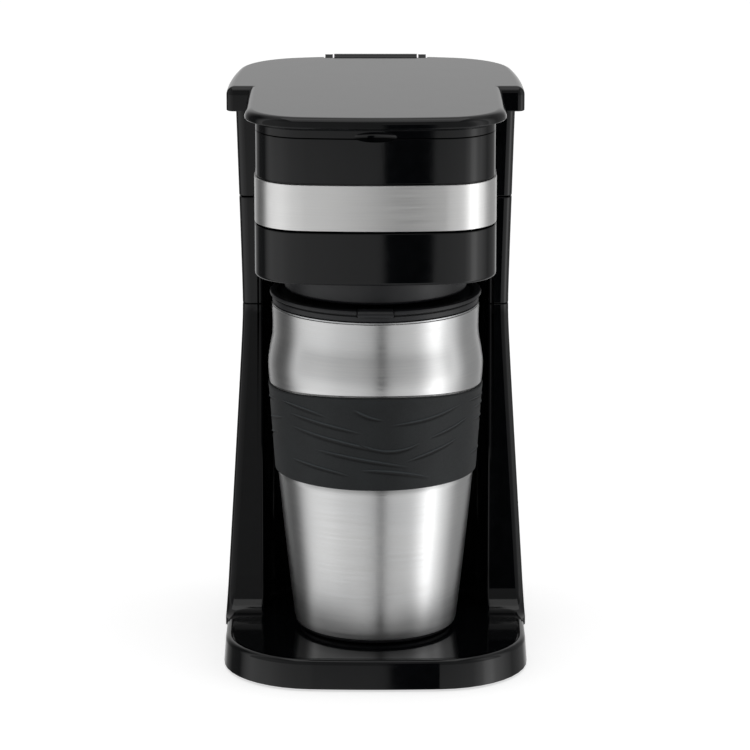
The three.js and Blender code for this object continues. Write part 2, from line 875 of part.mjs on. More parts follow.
// A tube along a curve, open from end to end.
function tube(points, outer, bore, steps, sides = tubeSides) {
  const path = new THREE.CatmullRomCurve3(points.map((p) => new THREE.Vector3(...p)), false, "centripetal");
  const section = new THREE.Shape();
  section.absarc(0, 0, outer, 0, 2 * Math.PI, false);
  if (bore > 0) {
    const hole = new THREE.Path();
    hole.absarc(0, 0, bore, 0, 2 * Math.PI, true);
    section.holes.push(hole);
  }
  const settings = { extrudePath: path, steps, curveSegments: sides / 2, bevelEnabled: false };
  return solid(new THREE.ExtrudeGeometry(section, settings));
}

const valveBottom = tankBottom - 28;

function checkValve() {
  return turned(
    [
      [1.3, valveBottom - 5],
      [spigotRadius, valveBottom - 5],
      [spigotRadius, valveBottom],
      [6.2, valveBottom],
      [6.2, valveBottom + 5],
      [spigotRadius, valveBottom + 5],
      [spigotRadius, valveBottom + 10],
      [1.3, valveBottom + 10],
      [1.3, valveBottom - 5],
    ],
    smallSides,
    spigotX,
    heaterY,
  );
}

// Points down one leg of the heater, round the bend and up the other.
function heaterPath(half, bottom, top) {
  const bendTop = bottom + half;
  const legMiddle = bendTop + legShare * (top - bendTop);
  const points = [[-half, heaterY, top], [-half, heaterY, legMiddle]];
  for (let i = 0; i <= 6; i++) {
    const angle = Math.PI + (i / 6) * Math.PI;
    points.push([half * Math.cos(angle), heaterY, bottom + half * (1 + Math.sin(angle))]);
  }
  points.push([half, heaterY, legMiddle], [half, heaterY, top]);
  return points;
}

const heaterRadius = 4.6;
const elementRadius = 3.4;
const elementHalf = heaterHalf - heaterRadius - gap - elementRadius;

function heaterTube() {
  const path = heaterPath(heaterHalf, heaterBottom - heaterHalf / 2, heaterTop - 4);
  return tube(path, heaterRadius, tubeBore - 0.6, 18);
}

function heatingElement() {
  const rise = heaterHalf - elementHalf;
  const path = heaterPath(elementHalf, heaterBottom - heaterHalf / 2 + rise, legEnd - 4);
  return tube(path, elementRadius, 0, 18);
}

const legEnd = heaterTop - 4;
const riserTop = innerDeckTop - deckPlate - 2;

function feedTubeUpper() {
  return tube(
    [[spigotX, heaterY, tankBottom - gap], [spigotX, heaterY, valveBottom + 5 + gap]],
    tubeOuter,
    tubeBore,
    2,
  );
}

function feedTubeLower() {
  return tube(
    [[spigotX, heaterY, valveBottom - gap], [spigotX, heaterY, legEnd + gap]],
    tubeOuter,
    tubeBore,
    2,
  );
}

const riserX = 0;
const riserY = bayBack + wall + tubeOuter + 3;

function riserTube() {
  return tube(
    [
      [heaterHalf, heaterY, legEnd + gap],
      [heaterHalf, heaterY, legEnd + 10],
      [heaterHalf - 6, heaterY - 3, legEnd + 22],
      [6, riserY + 4, legEnd + 32],
      [riserX, riserY, legEnd + 44],
      [riserX, riserY, riserTop - 40],
      [riserX, riserY, riserTop],
    ],
    tubeOuter,
    tubeBore,
    16,
  );
}

function outletNozzle() {
  const mouth = innerDeckTop + 3;
  return tube(
    [
      [riserX, riserY, riserTop - 8],
      [riserX, riserY, riserTop + 1],
      [riserX, riserY - 1.5, mouth - 1.2],
      [riserX, riserY - 6, mouth],
      [riserX, nozzleMouthY, mouth],
    ],
    2.2,
    1.3,
    9,
  );
}

function clamp(x, y, z) {
  const inner = tubeOuter + gap;
  const outer = inner + 0.9;
  const profile = [[inner, z], [outer, z], [outer, z + 4], [inner, z + 4], [inner, z]];
  return turned(profile, smallSides, x, y);
}

const clampPlaces = [
  [spigotX, heaterY, tankBottom - 7],
  [spigotX, heaterY, valveBottom + 6],
  [spigotX, heaterY, valveBottom - 6],
  [heaterHalf, heaterY, legEnd + 3],
];

function heaterBracket() {
  const front = bayBack + wall + gap;
  const back = heaterY - heaterRadius - gap;
  const shape = new THREE.Shape();
  const outlinePoints = [
    [-34, front], [-12, front], [-12, back - 1.2], [12, back - 1.2], [12, front], [34, front],
    [34, front + 1.2],
    [13.2, front + 1.2],
    [13.2, back],
    [-13.2, back],
    [-13.2, front + 1.2],
    [-34, front + 1.2],
  ];
  shape.setFromPoints(outlinePoints.map(([x, y]) => new THREE.Vector2(x, y)));
  const plate = new THREE.ExtrudeGeometry(shape, { depth: 24, bevelEnabled: false });
  return solid(moved(plate, 0, 0, heaterBottom + 2));
}

const sensorBack = heaterY + heaterRadius + gap;

function thermostat() {
  const base = bar("y", 8, sensorBack, sensorBack + 5, -11, heaterBottom - 3);
  return join(base, bar("y", 5, sensorBack + 4.5, sensorBack + 9, -11, heaterBottom - 3));
}

function thermalFuse() {
  return bar("x", 2, 2, 22, sensorBack + 2.2, heaterBottom - 6, 10);
}

piece("water_tank", waterTank(), "blackMatt");
piece("feed_tube_upper", feedTubeUpper(), "silicone");
piece("feed_tube_lower", feedTubeLower(), "silicone");
piece("check_valve", checkValve(), "whitePlastic");
piece("heater_tube", heaterTube(), "aluminium");
piece("heating_element", heatingElement(), "aluminium");
piece("heater_bracket", heaterBracket(), "steel");
piece("riser_tube", riserTube(), "silicone");
piece("outlet_nozzle", outletNozzle(), "blackMatt");
clampPlaces.forEach(([x, y, z], i) => piece(`tube_clamp_${i + 1}`, clamp(x, y, z), "steel"));
piece("thermostat", thermostat(), "steel");
piece("thermal_fuse", thermalFuse(), "whitePlastic");

// ---- Switch, cord gland and wires ----

const rockerX = switchFace - 1.6;
const rockerHalfLength = 6.1;
const rockerTilt = THREE.MathUtils.degToRad(7);
const trunnion = 0.9;

function switchBody() {
  const flange = box(
    [switchFace + gap, switchY - 10.5, switchZ - 8],
    [switchFace + gap + 0.9, switchY + 10.5, switchZ + 8],
  );
  const body = box(
    [switchFace - 14, switchY - 8.2, switchZ - 5.7],
    [switchFace + 0.6, switchY + 8.2, switchZ + 5.7],
  );
  const well = box(
    [rockerX - 4, switchY - 6.4, switchZ - 4.2],
    [switchFace + 4, switchY + 6.4, switchZ + 4.2],
  );
  const pivot = bar("y", trunnion + gap, switchY - 7.6, switchY + 7.6, rockerX, switchZ, 12);
  return cut(join(flange, body), well, pivot);
}

// The rocker in its off position, tilted so that its upper end stands out.
function switchRocker() {
  const shape = new THREE.Shape();
  const points = [[-2.4, -2.2], [2.8, -3.4], [1.9, 0], [2.8, 3.4], [-2.4, 2.2]];
  shape.setFromPoints(points.map(([x, z]) => new THREE.Vector2(x, z)));
  const cap = new THREE.ExtrudeGeometry(shape, { depth: 2 * rockerHalfLength, bevelEnabled: false });
  cap.rotateX(Math.PI / 2).translate(0, rockerHalfLength, 0);
  const pivot = new THREE.CylinderGeometry(trunnion, trunnion, 14.6, 12);
  return join(solid(cap), solid(pivot));
}

function cordGland() {
  return cut(
    join(
      bar("y", 6.6, glandFace + gap, glandFace + 1.6, glandX, glandZ),
      bar("y", glandRadius, glandFace - 7, glandFace + 1, glandX, glandZ),
      bar("y", 6, glandFace - 8.4, glandFace - 6.9, glandX, glandZ),
    ),
    bar("y", 3.3, 0, machineDepth, glandX, glandZ),
  );
}

function wire(points) {
  return tube(points, 1.1, 0, 3 * points.length, 6);
}

piece("switch_body", switchBody(), "blackMatt");
const rocker = piece("switch_rocker", switchRocker(), "blackGloss");
rocker.position.set(rockerX, switchY, switchZ);
rocker.rotation.y = rockerTilt;
piece("cord_gland", cordGland(), "rubber");

const switchBack = switchFace - 14 - 2 * gap;
piece(
  "wire_to_switch",
  wire([
    [glandX, glandFace - 9, glandZ],
    [glandX + 10, glandFace - 16, glandZ - 2],
    [10, glandFace - 18, glandZ],
    [34, heaterY + 4, 32],
    [switchBack - 4, switchY + 3, switchZ],
    [switchBack, switchY + 3, switchZ],
  ]),
  "wireRed",
);
piece(
  "wire_to_thermostat",
  wire([
    [switchBack, switchY - 3, switchZ],
    [switchBack - 6, switchY - 1, switchZ - 4],
    [20, sensorBack + 13, 30],
    [-6, sensorBack + 15, 36],
    [-11, sensorBack + 12, heaterBottom - 3],
    [-11, sensorBack + 9 + gap, heaterBottom - 3],
  ]),
  "wireRed",
);

// ---- Travel mug ----

// Height at a share of the way from the sleeve to the rim.
function neckAt(share) {
  return sleeveTop + share * (mugRim - sleeveTop);
}

const seatBottom = sleeveBottomRadius - sleeveThickness - gap;
const seatTop = sleeveTopRadius - sleeveThickness - gap;

// Outer radius of the steel wall at a height, with the sleeve's seat pressed in.
const mugProfile = [
  [mugRadius - 11.4, mugBottom + 1.9],
  [mugRadius - 10.3, mugBottom + 4.2],
  [mugRadius - 8.7, mugBottom + 17.7],
  [mugRadius - 6, mugBottom + 42.7],
  [mugRadius - 3.7, sleeveBottom - 1],
  [seatBottom, sleeveBottom - 0.4],
  [seatTop, sleeveTop + 0.4],
  [mugRadius - 0.4, sleeveTop + 1],
  [mugRadius, neckAt(0.14)],
  [mugRadius, neckAt(0.27)],
  [mugRadius - 0.7, neckAt(0.43)],
  [mugRadius - 1.6, neckAt(0.58)],
  [mugRadius - 1.8, neckAt(0.74)],
  [mugRadius - 1.6, mugRim - 0.6],
];

function mugShell() {
  const inside = mugProfile.map(([radius, z]) => [radius - mugWall, z]).reverse();
  return turned([...mugProfile, ...inside, mugProfile[0]], mugSides, 0, mugY);
}

const linerTop = mugRim - 0.3;

function mugLiner() {
  const thin = 0.7;
  const floor = mugBottom + 5.7;
  const floorRadius = mugRadius - 15.6;
  const wallRadius = mugRadius - 4;
  const wallPoints = [
    [floorRadius + 2, floor + 3],
    [mugRadius - 6, sleeveBottom],
    [wallRadius - 0.2, sleeveTop],
  ];
  const inner = wallPoints.map(([radius, z]) => [radius - thin, z + 0.4]).reverse();
  const outer = [
    [0, floor],
    [floorRadius, floor],
    ...wallPoints,
    [wallRadius, linerTop],
    [mugRadius - 1.9, linerTop],
    [mugRadius - 1.9, linerTop + 0.5],
    [wallRadius - thin, linerTop + 0.5],
    ...inner,
    [floorRadius - thin, floor + thin],
    [0, floor + thin],
  ];
  return turned(outer, mugSides, 0, mugY);
}

function mugFoot() {
  return turned(
    [
      [0, mugBottom + 1.2],
      [mugRadius - 17.6, mugBottom + 1.2],
      [mugRadius - 16.6, mugBottom],
      [mugRadius - 13.4, mugBottom],
      [mugRadius - 12.6, mugBottom + 0.8],
      [mugRadius - 12.7, mugBottom + 4.2],
      [0, mugBottom + 4.2],
    ],
    mugSides,
    0,
    mugY,
  );
}

function mugSleeve() {
  return turned(
    [
      [sleeveBottomRadius - sleeveThickness, sleeveBottom],
      [sleeveBottomRadius, sleeveBottom],
      [sleeveTopRadius, sleeveTop],
      [sleeveTopRadius - sleeveThickness, sleeveTop],
      [sleeveBottomRadius - sleeveThickness, sleeveBottom],
    ],
    mugSides,
    0,
    mugY,
  );
}

const collarRadius = mugRadius - 5.4;
const plugRadius = mugRadius - 8.6;
const grooveRadius = mugRadius - 7.7;
const dishRadius = mugRadius - 4.6;
const plugBottom = mugRim - 8.2;
const sealBottom = mugRim - 6.2;
const sealTop = mugRim - 3.2;
const dishFloor = mugRim + 3.4;
const dripRadius = 6;
const sliderHalf = 7.2;
const sliderInner = mugRadius - 19.6;
const trackDepth = 1;

function mugLid() {
  const body = turned(
    [
      [0, mugRim - 2.2],
      [plugRadius, mugRim - 2.2],
      [plugRadius, plugBottom],
      [plugRadius + 1.6, plugBottom],
      [plugRadius + 1.6, sealBottom],
      [grooveRadius, sealBottom],
      [grooveRadius, sealTop],
      [collarRadius, sealTop],
      [collarRadius, mugRim + 0.5],
      [mugRadius - 2, mugRim + 0.5],
      [mugRadius - 1.8, mugRim + 1],
      [mugRadius - 1.8, dishFloor - 0.7],
      [mugRadius - 2.6, dishFloor - 0.5],
      [mugRadius - 2.6, dishFloor + 0.3],
      [mugRadius - 0.8, dishFloor + 0.5],
      [mugRadius - 0.8, mugLidTop - 0.4],
      [mugRadius - 1.2, mugLidTop],
      [dishRadius + 0.8, mugLidTop],
      [dishRadius, dishFloor + 0.8],
      [0, dishFloor + 0.8],
    ],
    mugSides,
    0,
    mugY,
  );
  const hollow = post(plugRadius - 1.6, 0, mugRim + 1.2, 0, mugY, filterSides);
  const drip = post(dripRadius, 0, beyond, 0, mugY);
  const trackHalf = sliderHalf + gap;
  const track = box(
    [-trackHalf, mugY - mugRadius - 6, dishFloor - trackDepth],
    [trackHalf, mugY - sliderInner + 12, beyond],
  );
  const sip = box([-4, mugY - sliderInner - 9, 0], [4, mugY - sliderInner - 5, beyond]);
  return cut(body, hollow, drip, track, sip);
}

function mugLidSeal() {
  return turned(
    [
      [grooveRadius + gap, sealBottom + gap],
      [collarRadius + 0.2, sealBottom + gap],
      [collarRadius + 0.2, sealTop - gap],
      [grooveRadius + gap, sealTop - gap],
      [grooveRadius + gap, sealBottom + gap],
    ],
    mugSides,
    0,
    mugY,
  );
}

// Slider plate with its thumb tab over the lid's edge.
function mugLidSlider() {
  const bottom = dishFloor - trackDepth + gap;
  const front = mugY - mugRadius - 0.4;
  const back = front + 7;
  const plate = box([-sliderHalf, back - 3, bottom], [sliderHalf, mugY - sliderInner, bottom + 1.2]);
  const tabShape = new THREE.Shape();
  tabShape.moveTo(back, bottom);
  tabShape.lineTo(back, mugLidTop - 0.4);
  tabShape.lineTo(back - 1.6, mugLidTop + 0.3);
  tabShape.lineTo(front + 1.2, mugLidTop + 0.3);
  tabShape.lineTo(front, mugLidTop - 0.8);
  tabShape.lineTo(front, dishFloor - 0.3);
  tabShape.lineTo(front + 1.4, bottom);
  tabShape.closePath();
  return join(plate, sideSlab(tabShape, -sliderHalf, sliderHalf));
}

piece("mug_shell", mugShell(), "steel");
piece("mug_liner", mugLiner(), "steel");
piece("mug_foot", mugFoot(), "blackMatt");
piece("mug_sleeve", mugSleeve(), "rubber");
piece("mug_lid", mugLid(), "blackMatt");
piece("mug_lid_seal", mugLidSeal(), "silicone");
piece("mug_lid_slider", mugLidSlider(), "blackMatt");

export default part;
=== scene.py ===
# Drip coffee maker with its travel mug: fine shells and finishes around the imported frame.
import math

import bmesh
import bpy
from mathutils import Matrix, Vector


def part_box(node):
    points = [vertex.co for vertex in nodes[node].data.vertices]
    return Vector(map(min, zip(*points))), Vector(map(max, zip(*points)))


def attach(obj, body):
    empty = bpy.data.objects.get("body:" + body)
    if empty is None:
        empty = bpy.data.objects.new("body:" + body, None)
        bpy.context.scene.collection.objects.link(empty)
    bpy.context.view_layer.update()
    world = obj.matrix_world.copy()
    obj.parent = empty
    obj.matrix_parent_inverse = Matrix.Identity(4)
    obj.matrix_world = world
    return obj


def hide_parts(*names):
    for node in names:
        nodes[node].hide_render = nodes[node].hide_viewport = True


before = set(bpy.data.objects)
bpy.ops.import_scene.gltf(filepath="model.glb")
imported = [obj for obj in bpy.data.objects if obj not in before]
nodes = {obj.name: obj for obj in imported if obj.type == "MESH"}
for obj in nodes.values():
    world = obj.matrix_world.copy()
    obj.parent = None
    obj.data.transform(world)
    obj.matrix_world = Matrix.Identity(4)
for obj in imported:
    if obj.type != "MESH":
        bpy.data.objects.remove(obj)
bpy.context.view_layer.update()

scene = bpy.context.scene
mm = 0.001
print("frame loaded:", len(nodes), "nodes")


def boxOf(node):
    low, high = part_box(node)
    return low / mm, high / mm


# Camera, floor and light.

view = {
    "place": (0, -1.6109, 0.5074),  # metres, in the frame of the part
    "down": 13.81,  # degrees below level
    "lens": 192,
    "sensor": 36,
    "shift": -0.0007,
}


def toLinear(text):
    channels = [int(text[i : i + 2], 16) / 255 for i in (1, 3, 5)]
    return [c / 12.92 if c <= 0.04045 else ((c + 0.055) / 1.055) ** 2.4 for c in channels] + [1]


def addNode(tree, kind, values=None, links=None):
    # Values are node settings or socket values, links are socket to source socket.
    node = tree.nodes.new("ShaderNode" + kind)
    for name, value in (values or {}).items():
        if isinstance(name, str) and hasattr(node, name):
            setattr(node, name, value)
        else:
            node.inputs[name].default_value = value
    for name, source in (links or {}).items():
        tree.links.new(source, node.inputs[name])
    return node


def addCamera():
    data = bpy.data.cameras.new("camera")
    data.lens = view["lens"]
    data.sensor_width = view["sensor"]
    data.shift_x = view["shift"]
    data.clip_start = 0.05
    camera = bpy.data.objects.new("camera", data)
    camera.location = view["place"]
    camera.rotation_euler = (math.radians(90 - view["down"]), 0, 0)
    scene.collection.objects.link(camera)
    scene.camera = camera


# A white tent round the object as its glossy sides mirror it: degrees to the right of straight
# ahead and brightness. Soft boxes stand at the sides, with dark cards behind them.
tent = [
    (-180, 0.68), (-162, 0.68), (-148, 0.3), (-130, 0.08), (-110, 0.1), (-98, 0.7), (-88, 1.1),
    (-60, 1.15), (-40, 0.95), (-16, 0.82), (-4, 0.66), (6, 0.64), (16, 0.72), (30, 0.8), (48, 0.9),
    (60, 1.5), (66, 2.3), (74, 2.5), (82, 1.6), (98, 0.8), (112, 0.3), (145, 0.3), (162, 0.68),
    (180, 0.68),
]

# Dark card beside the lens, in metres: it spans left to right at one distance.
lensCard = {"left": 0.045, "right": 0.31, "y": -1.5, "low": -0.9, "high": 0.9}

domeLight = 0.62
frontShade = 0.45  # the wall behind the lens is darker above lens height


def addWorld():
    world = bpy.data.worlds.new("tent")
    scene.world = world
    world.use_nodes = True
    tree = world.node_tree
    tree.nodes.clear()
    ray = addNode(tree, "TexCoord")
    parts = addNode(tree, "SeparateXYZ", None, {"Vector": ray.outputs["Generated"]})
    ahead = addNode(tree, "Math", {"operation": "MULTIPLY", 1: -1.0}, {0: parts.outputs["Y"]})
    angle = addNode(
        tree, "Math", {"operation": "ARCTAN2"}, {0: parts.outputs["X"], 1: ahead.outputs[0]}
    )
    turn = {"From Min": -math.pi, "From Max": math.pi}
    share = addNode(tree, "MapRange", turn, {"Value": angle.outputs[0]})
    ramp = addNode(tree, "ValToRGB", None, {"Fac": share.outputs[0]})
    strongest = max(light for _, light in tent)
    stops = ramp.color_ramp.elements
    for degrees, light in tent:
        at = degrees / 360 + 0.5
        stop = stops[0] if at == 0 else stops[-1] if at == 1 else stops.new(at)
        stop.color = [light / strongest] * 3 + [1]
    height = addNode(tree, "Math", {"operation": "ABSOLUTE"}, {0: parts.outputs["Z"]})
    above = addNode(
        tree,
        "MapRange",
        {"From Min": 0.6, "From Max": 0.85},
        {"Value": height.outputs[0]},
    )
    dome = addNode(
        tree,
        "Mix",
        {"data_type": "RGBA", 7: [domeLight / strongest] * 3 + [1]},
        {0: above.outputs[0], 6: ramp.outputs["Color"]},
    )
    shade = {"From Min": -0.2, "From Max": -0.12, "To Min": 0.0, "To Max": 1 - frontShade}
    lower = addNode(tree, "MapRange", shade, {"Value": parts.outputs["Z"]})
    facing = addNode(tree, "Math", {"operation": "GREATER_THAN", 1: 0.0}, {0: ahead.outputs[0]})
    both = addNode(
        tree, "Math", {"operation": "MULTIPLY"}, {0: lower.outputs[0], 1: facing.outputs[0]}
    )
    kept = addNode(tree, "Math", {"operation": "SUBTRACT", 0: 1.0}, {1: both.outputs[0]})
    strength = addNode(
        tree, "Math", {"operation": "MULTIPLY", 1: strongest}, {0: kept.outputs[0]}
    )
    colour = {"Color": dome.outputs[2], "Strength": strength.outputs[0]}
    light = addNode(tree, "Background", None, colour)
    addNode(tree, "OutputWorld", None, {"Surface": light.outputs[0]})


def addLensCard():
    c = lensCard
    mesh = bpy.data.meshes.new("lens card")
    ends = [(c["left"], c["low"]), (c["right"], c["low"]), (c["right"], c["high"]), (c["left"], c["high"])]
    corners = [(x, c["y"], z) for x, z in ends]
    mesh.from_pydata(corners, [], [(0, 1, 2, 3)])
    card = bpy.data.objects.new("lens card", mesh)
    scene.collection.objects.link(card)
    material = bpy.data.materials.new("black velvet")
    material.use_nodes = True
    tree = material.node_tree
    tree.nodes.clear()
    velvet = addNode(tree, "BsdfDiffuse", {"Color": toLinear("#050505")})
    addNode(tree, "OutputMaterial", None, {"Surface": velvet.outputs[0]})
    mesh.materials.append(material)
    card.visible_camera = card.visible_shadow = card.visible_diffuse = False


def addFloor():
    half = 3.0
    mesh = bpy.data.meshes.new("floor")
    corners = [(-half, -half, 0), (half, -half, 0), (half, half, 0), (-half, half, 0)]
    mesh.from_pydata(corners, [], [(0, 1, 2, 3)])
    floor = bpy.data.objects.new("floor", mesh)
    scene.collection.objects.link(floor)
    material = bpy.data.materials.new("white paper")
    material.use_nodes = True
    tree = material.node_tree
    tree.nodes.clear()
    grain = addNode(tree, "TexNoise", {"Scale": 60.0, "Detail": 3.0})
    tone = addNode(
        tree,
        "MapRange",
        {"To Min": 0.80, "To Max": 0.84},
        {"Value": grain.outputs["Fac"]},
    )
    paper = addNode(tree, "BsdfDiffuse", None, {"Color": tone.outputs[0]})
    glow = addNode(tree, "Emission", {"Strength": 0.62})
    both = addNode(tree, "AddShader", None, {0: paper.outputs[0], 1: glow.outputs[0]})
    addNode(tree, "OutputMaterial", None, {"Surface": both.outputs[0]})
    mesh.materials.append(material)
    floor.visible_glossy = False  # glossy sides mirror the tent, not the paper


def addLight(name, place, size, power):
    data = bpy.data.lights.new(name, "AREA")
    data.shape = "RECTANGLE"
    data.size, data.size_y = size
    data.energy = power
    light = bpy.data.objects.new(name, data)
    light.location = place
    light.rotation_euler = (Vector((0, 0, 0.12)) - Vector(place)).to_track_quat("-Z", "Y").to_euler()
    scene.collection.objects.link(light)


addCamera()
addWorld()
addLensCard()
addFloor()
addLight("overhead", (0, -0.1, 1.6), (1.2, 1.2), 4)
scene.view_settings.view_transform = "Standard"
print("camera, tent and floor are in place")


# Materials.


def newMaterial(name, values):
    material = bpy.data.materials.new(name)
    material.use_nodes = True
    tree = material.node_tree
    tree.nodes.clear()
    shader = addNode(tree, "BsdfPrincipled", values)
    addNode(tree, "OutputMaterial", None, {"Surface": shader.outputs[0]})
    return material, tree, shader


def addPattern(tree, period, detail=2.0, stretch=(1, 1, 1)):
    # Noise with a period in millimetres, along each axis when stretched.
    coords = addNode(tree, "TexCoord")
    scale = [1 / (period * mm * s) for s in stretch]
    sized = addNode(tree, "Mapping", {"Scale": scale}, {"Vector": coords.outputs["Object"]})
    noise = addNode(
        tree, "TexNoise", {"Scale": 1.0, "Detail": detail}, {"Vector": sized.outputs[0]}
    )
    return noise.outputs["Fac"]


def addRange(tree, source, low, high, start=0.25, end=0.75):
    span = {"From Min": start, "From Max": end, "To Min": low, "To Max": high}
    return addNode(tree, "MapRange", span, {"Value": source}).outputs[0]


def addBump(tree, shader, source, height, strength=1.0):
    bump = addNode(
        tree, "Bump", {"Strength": strength, "Distance": height * mm}, {"Height": source}
    )
    tree.links.new(bump.outputs[0], shader.inputs["Normal"])
    return bump


def addTones(tree, shader, source, dark, light, start=0.25, end=0.75):
    share = addRange(tree, source, 0, 1, start, end)
    mix = addNode(
        tree,
        "Mix",
        {"data_type": "RGBA", 6: toLinear(dark), 7: toLinear(light)},
        {0: share},
    )
    tree.links.new(mix.outputs[2], shader.inputs["Base Color"])


def glossAbs():
    # ABS from a polished mould: deep black, mirror-like, with a faint sink ripple
    material, tree, shader = newMaterial("gloss ABS, polished mould", {"IOR": 1.40})
    ripple = addPattern(tree, 16, 1.0)
    haze = addPattern(tree, 5, 3.0)
    addTones(tree, shader, haze, "#050607", "#08090b")
    tree.links.new(addRange(tree, haze, 0.06, 0.10), shader.inputs["Roughness"])
    addBump(tree, shader, ripple, 0.02)
    return material


def mattPp():
    # Polypropylene from a spark-eroded mould: dark grey, soft highlights, fine grain
    material, tree, shader = newMaterial("matt polypropylene, eroded grain", {"IOR": 1.49})
    grain = addPattern(tree, 0.5, 3.0)  # the real grain is about 0.1 mm, drawn coarser to show
    patch = addPattern(tree, 9, 2.0)
    addTones(tree, shader, patch, "#141517", "#1a1b1e")
    tree.links.new(addRange(tree, grain, 0.34, 0.48), shader.inputs["Roughness"])
    addBump(tree, shader, grain, 0.02)
    return material


def brushedSteel(dark, light, smooth, rough):
    # Stainless sheet brushed round the body: bright, with fine level lines and upright glints
    values = {"Metallic": 1.0, "Anisotropic": 0.8, "Anisotropic Rotation": 0.25}
    material, tree, shader = newMaterial("brushed stainless steel", values)
    lines = addPattern(tree, 0.45, 4.0, (60, 60, 1))  # 0.05 mm lines, drawn coarser to show
    cloud = addPattern(tree, 14, 2.0, (2, 2, 1))
    both = addNode(
        tree, "Mix", {"data_type": "FLOAT", 0: 0.35}, {2: lines, 3: cloud}
    )
    addTones(tree, shader, both.outputs[0], dark, light)
    tree.links.new(addRange(tree, lines, smooth, rough), shader.inputs["Roughness"])
    addBump(tree, shader, lines, 0.003)
    tangent = addNode(tree, "Tangent", {"direction_type": "RADIAL", "axis": "Z"})
    tree.links.new(tangent.outputs[0], shader.inputs["Tangent"])
    return material


def plainSteel():
    # Cold-rolled steel, pressed or turned: even grey metal with a slight rolling grain
    material, tree, shader = newMaterial("plain stainless steel", {"Metallic": 1.0})
    grain = addPattern(tree, 0.6, 3.0, (6, 1, 1))
    addTones(tree, shader, grain, "#b4b5b6", "#c6c7c8")
    tree.links.new(addRange(tree, grain, 0.24, 0.36), shader.inputs["Roughness"])
    return material


def extrudedAluminium():
    # Extruded aluminium: pale soft metal with drawing lines
    material, tree, shader = newMaterial("extruded aluminium", {"Metallic": 1.0})
    lines = addPattern(tree, 0.6, 3.0, (1, 1, 12))
    addTones(tree, shader, lines, "#b3b6ba", "#c8cacd")
    tree.links.new(addRange(tree, lines, 0.34, 0.5), shader.inputs["Roughness"])
    return material


def gripRubber():
    # Moulded thermoplastic rubber: dark blue-grey, no sharp highlight, a little bloom. Painted shade darkens
    # the engraved grooves, and a painted highlight lightens the lips above them
    values = {"IOR": 1.42, "Sheen Weight": 0.04, "Sheen Roughness": 0.5}
    material, tree, shader = newMaterial("moulded grip rubber", values)
    grain = addPattern(tree, 0.6, 3.0)
    bloom = addPattern(tree, 11, 3.0)
    share = addRange(tree, bloom, 0, 1)
    plain = {"data_type": "RGBA", 6: toLinear("#0c0f11"), 7: toLinear("#14181a")}
    body = addNode(tree, "Mix", plain, {0: share})
    # painted shade: where the crease attribute is positive, in the engraved grooves, the colour goes to near
    # black
    crease = addNode(tree, "Attribute", {"attribute_name": "crease"})
    hollow = addNode(tree, "Math", {"operation": "MAXIMUM", 1: 0.0}, {0: crease.outputs["Fac"]})
    grooveShade = {"data_type": "RGBA", 7: toLinear("#010102")}
    grooveShaded = addNode(tree, "Mix", grooveShade, {0: hollow.outputs[0], 6: body.outputs[2]})
    # painted highlight: where the crease attribute is negative, on the low lips above the grooves, the
    # colour is lightened
    raised = addNode(tree, "Math", {"operation": "MULTIPLY", 1: -0.7}, {0: crease.outputs["Fac"]})
    lip = addNode(tree, "Math", {"operation": "MAXIMUM", 1: 0.0}, {0: raised.outputs[0]})
    ridgeHighlight = {"data_type": "RGBA", 7: toLinear("#3a4144")}
    both = addNode(tree, "Mix", ridgeHighlight, {0: lip.outputs[0], 6: grooveShaded.outputs[2]})
    tree.links.new(both.outputs[2], shader.inputs["Base Color"])
    tree.links.new(addRange(tree, grain, 0.56, 0.68), shader.inputs["Roughness"])
    addBump(tree, shader, grain, 0.02)
    return material


def footRubber():
    # Moulded rubber for feet and grommets: near black and dull
    material, tree, shader = newMaterial("moulded foot rubber", {"IOR": 1.5})
    grain = addPattern(tree, 0.7, 3.0)
    addTones(tree, shader, grain, "#161718", "#222324")
    tree.links.new(addRange(tree, grain, 0.6, 0.75), shader.inputs["Roughness"])
    addBump(tree, shader, grain, 0.03)
    return material


def siliconeTube():
    # Cured silicone: milky, light passes a little way in
    values = {"IOR": 1.41, "Subsurface Weight": 0.25, "Subsurface Scale": 0.002}
    material, tree, shader = newMaterial("milky silicone", values)
    cloud = addPattern(tree, 4, 2.0)
    addTones(tree, shader, cloud, "#d2d2cc", "#dfdfd9")
    tree.links.new(addRange(tree, cloud, 0.38, 0.5), shader.inputs["Roughness"])
    return material


def whiteNylon():
    # Moulded nylon: off-white and slightly waxy
    material, tree, shader = newMaterial("moulded white nylon", {"IOR": 1.53})
    cloud = addPattern(tree, 3, 2.0)
    addTones(tree, shader, cloud, "#dedcd5", "#e8e6e0")
    tree.links.new(addRange(tree, cloud, 0.4, 0.52), shader.inputs["Roughness"])
    return material


def wireCover():
    # Extruded silicone-rubber wire cover: dull red
    material, tree, shader = newMaterial("extruded wire cover", {"IOR": 1.45})
    cloud = addPattern(tree, 2, 2.0)
    addTones(tree, shader, cloud, "#8f261f", "#a4322a")
    tree.links.new(addRange(tree, cloud, 0.42, 0.56), shader.inputs["Roughness"])
    return material


finishes = {
    "gloss_black": glossAbs(),
    "matt_black": mattPp(),
    "brushed_steel": brushedSteel("#d6d7d8", "#e4e4e3", 0.30, 0.42),
    "band_steel": brushedSteel("#f2f2f1", "#fbfbfa", 0.34, 0.46),
    "plain_steel": plainSteel(),
    "heater_aluminium": extrudedAluminium(),
    "grip_rubber": gripRubber(),
    "foot_rubber": footRubber(),
    "silicone": siliconeTube(),
    "white_plastic": whiteNylon(),
    "wire_cover": wireCover(),
}
print("finishes made:", len(finishes))


# Mesh tools, all sizes in millimetres.


def addObject(name, points, faces):
    mesh = bpy.data.meshes.new(name)
    mesh.from_pydata([[c * mm for c in point] for point in points], [], faces)
    piece = bpy.data.objects.new(name, mesh)
    scene.collection.objects.link(piece)
    return piece


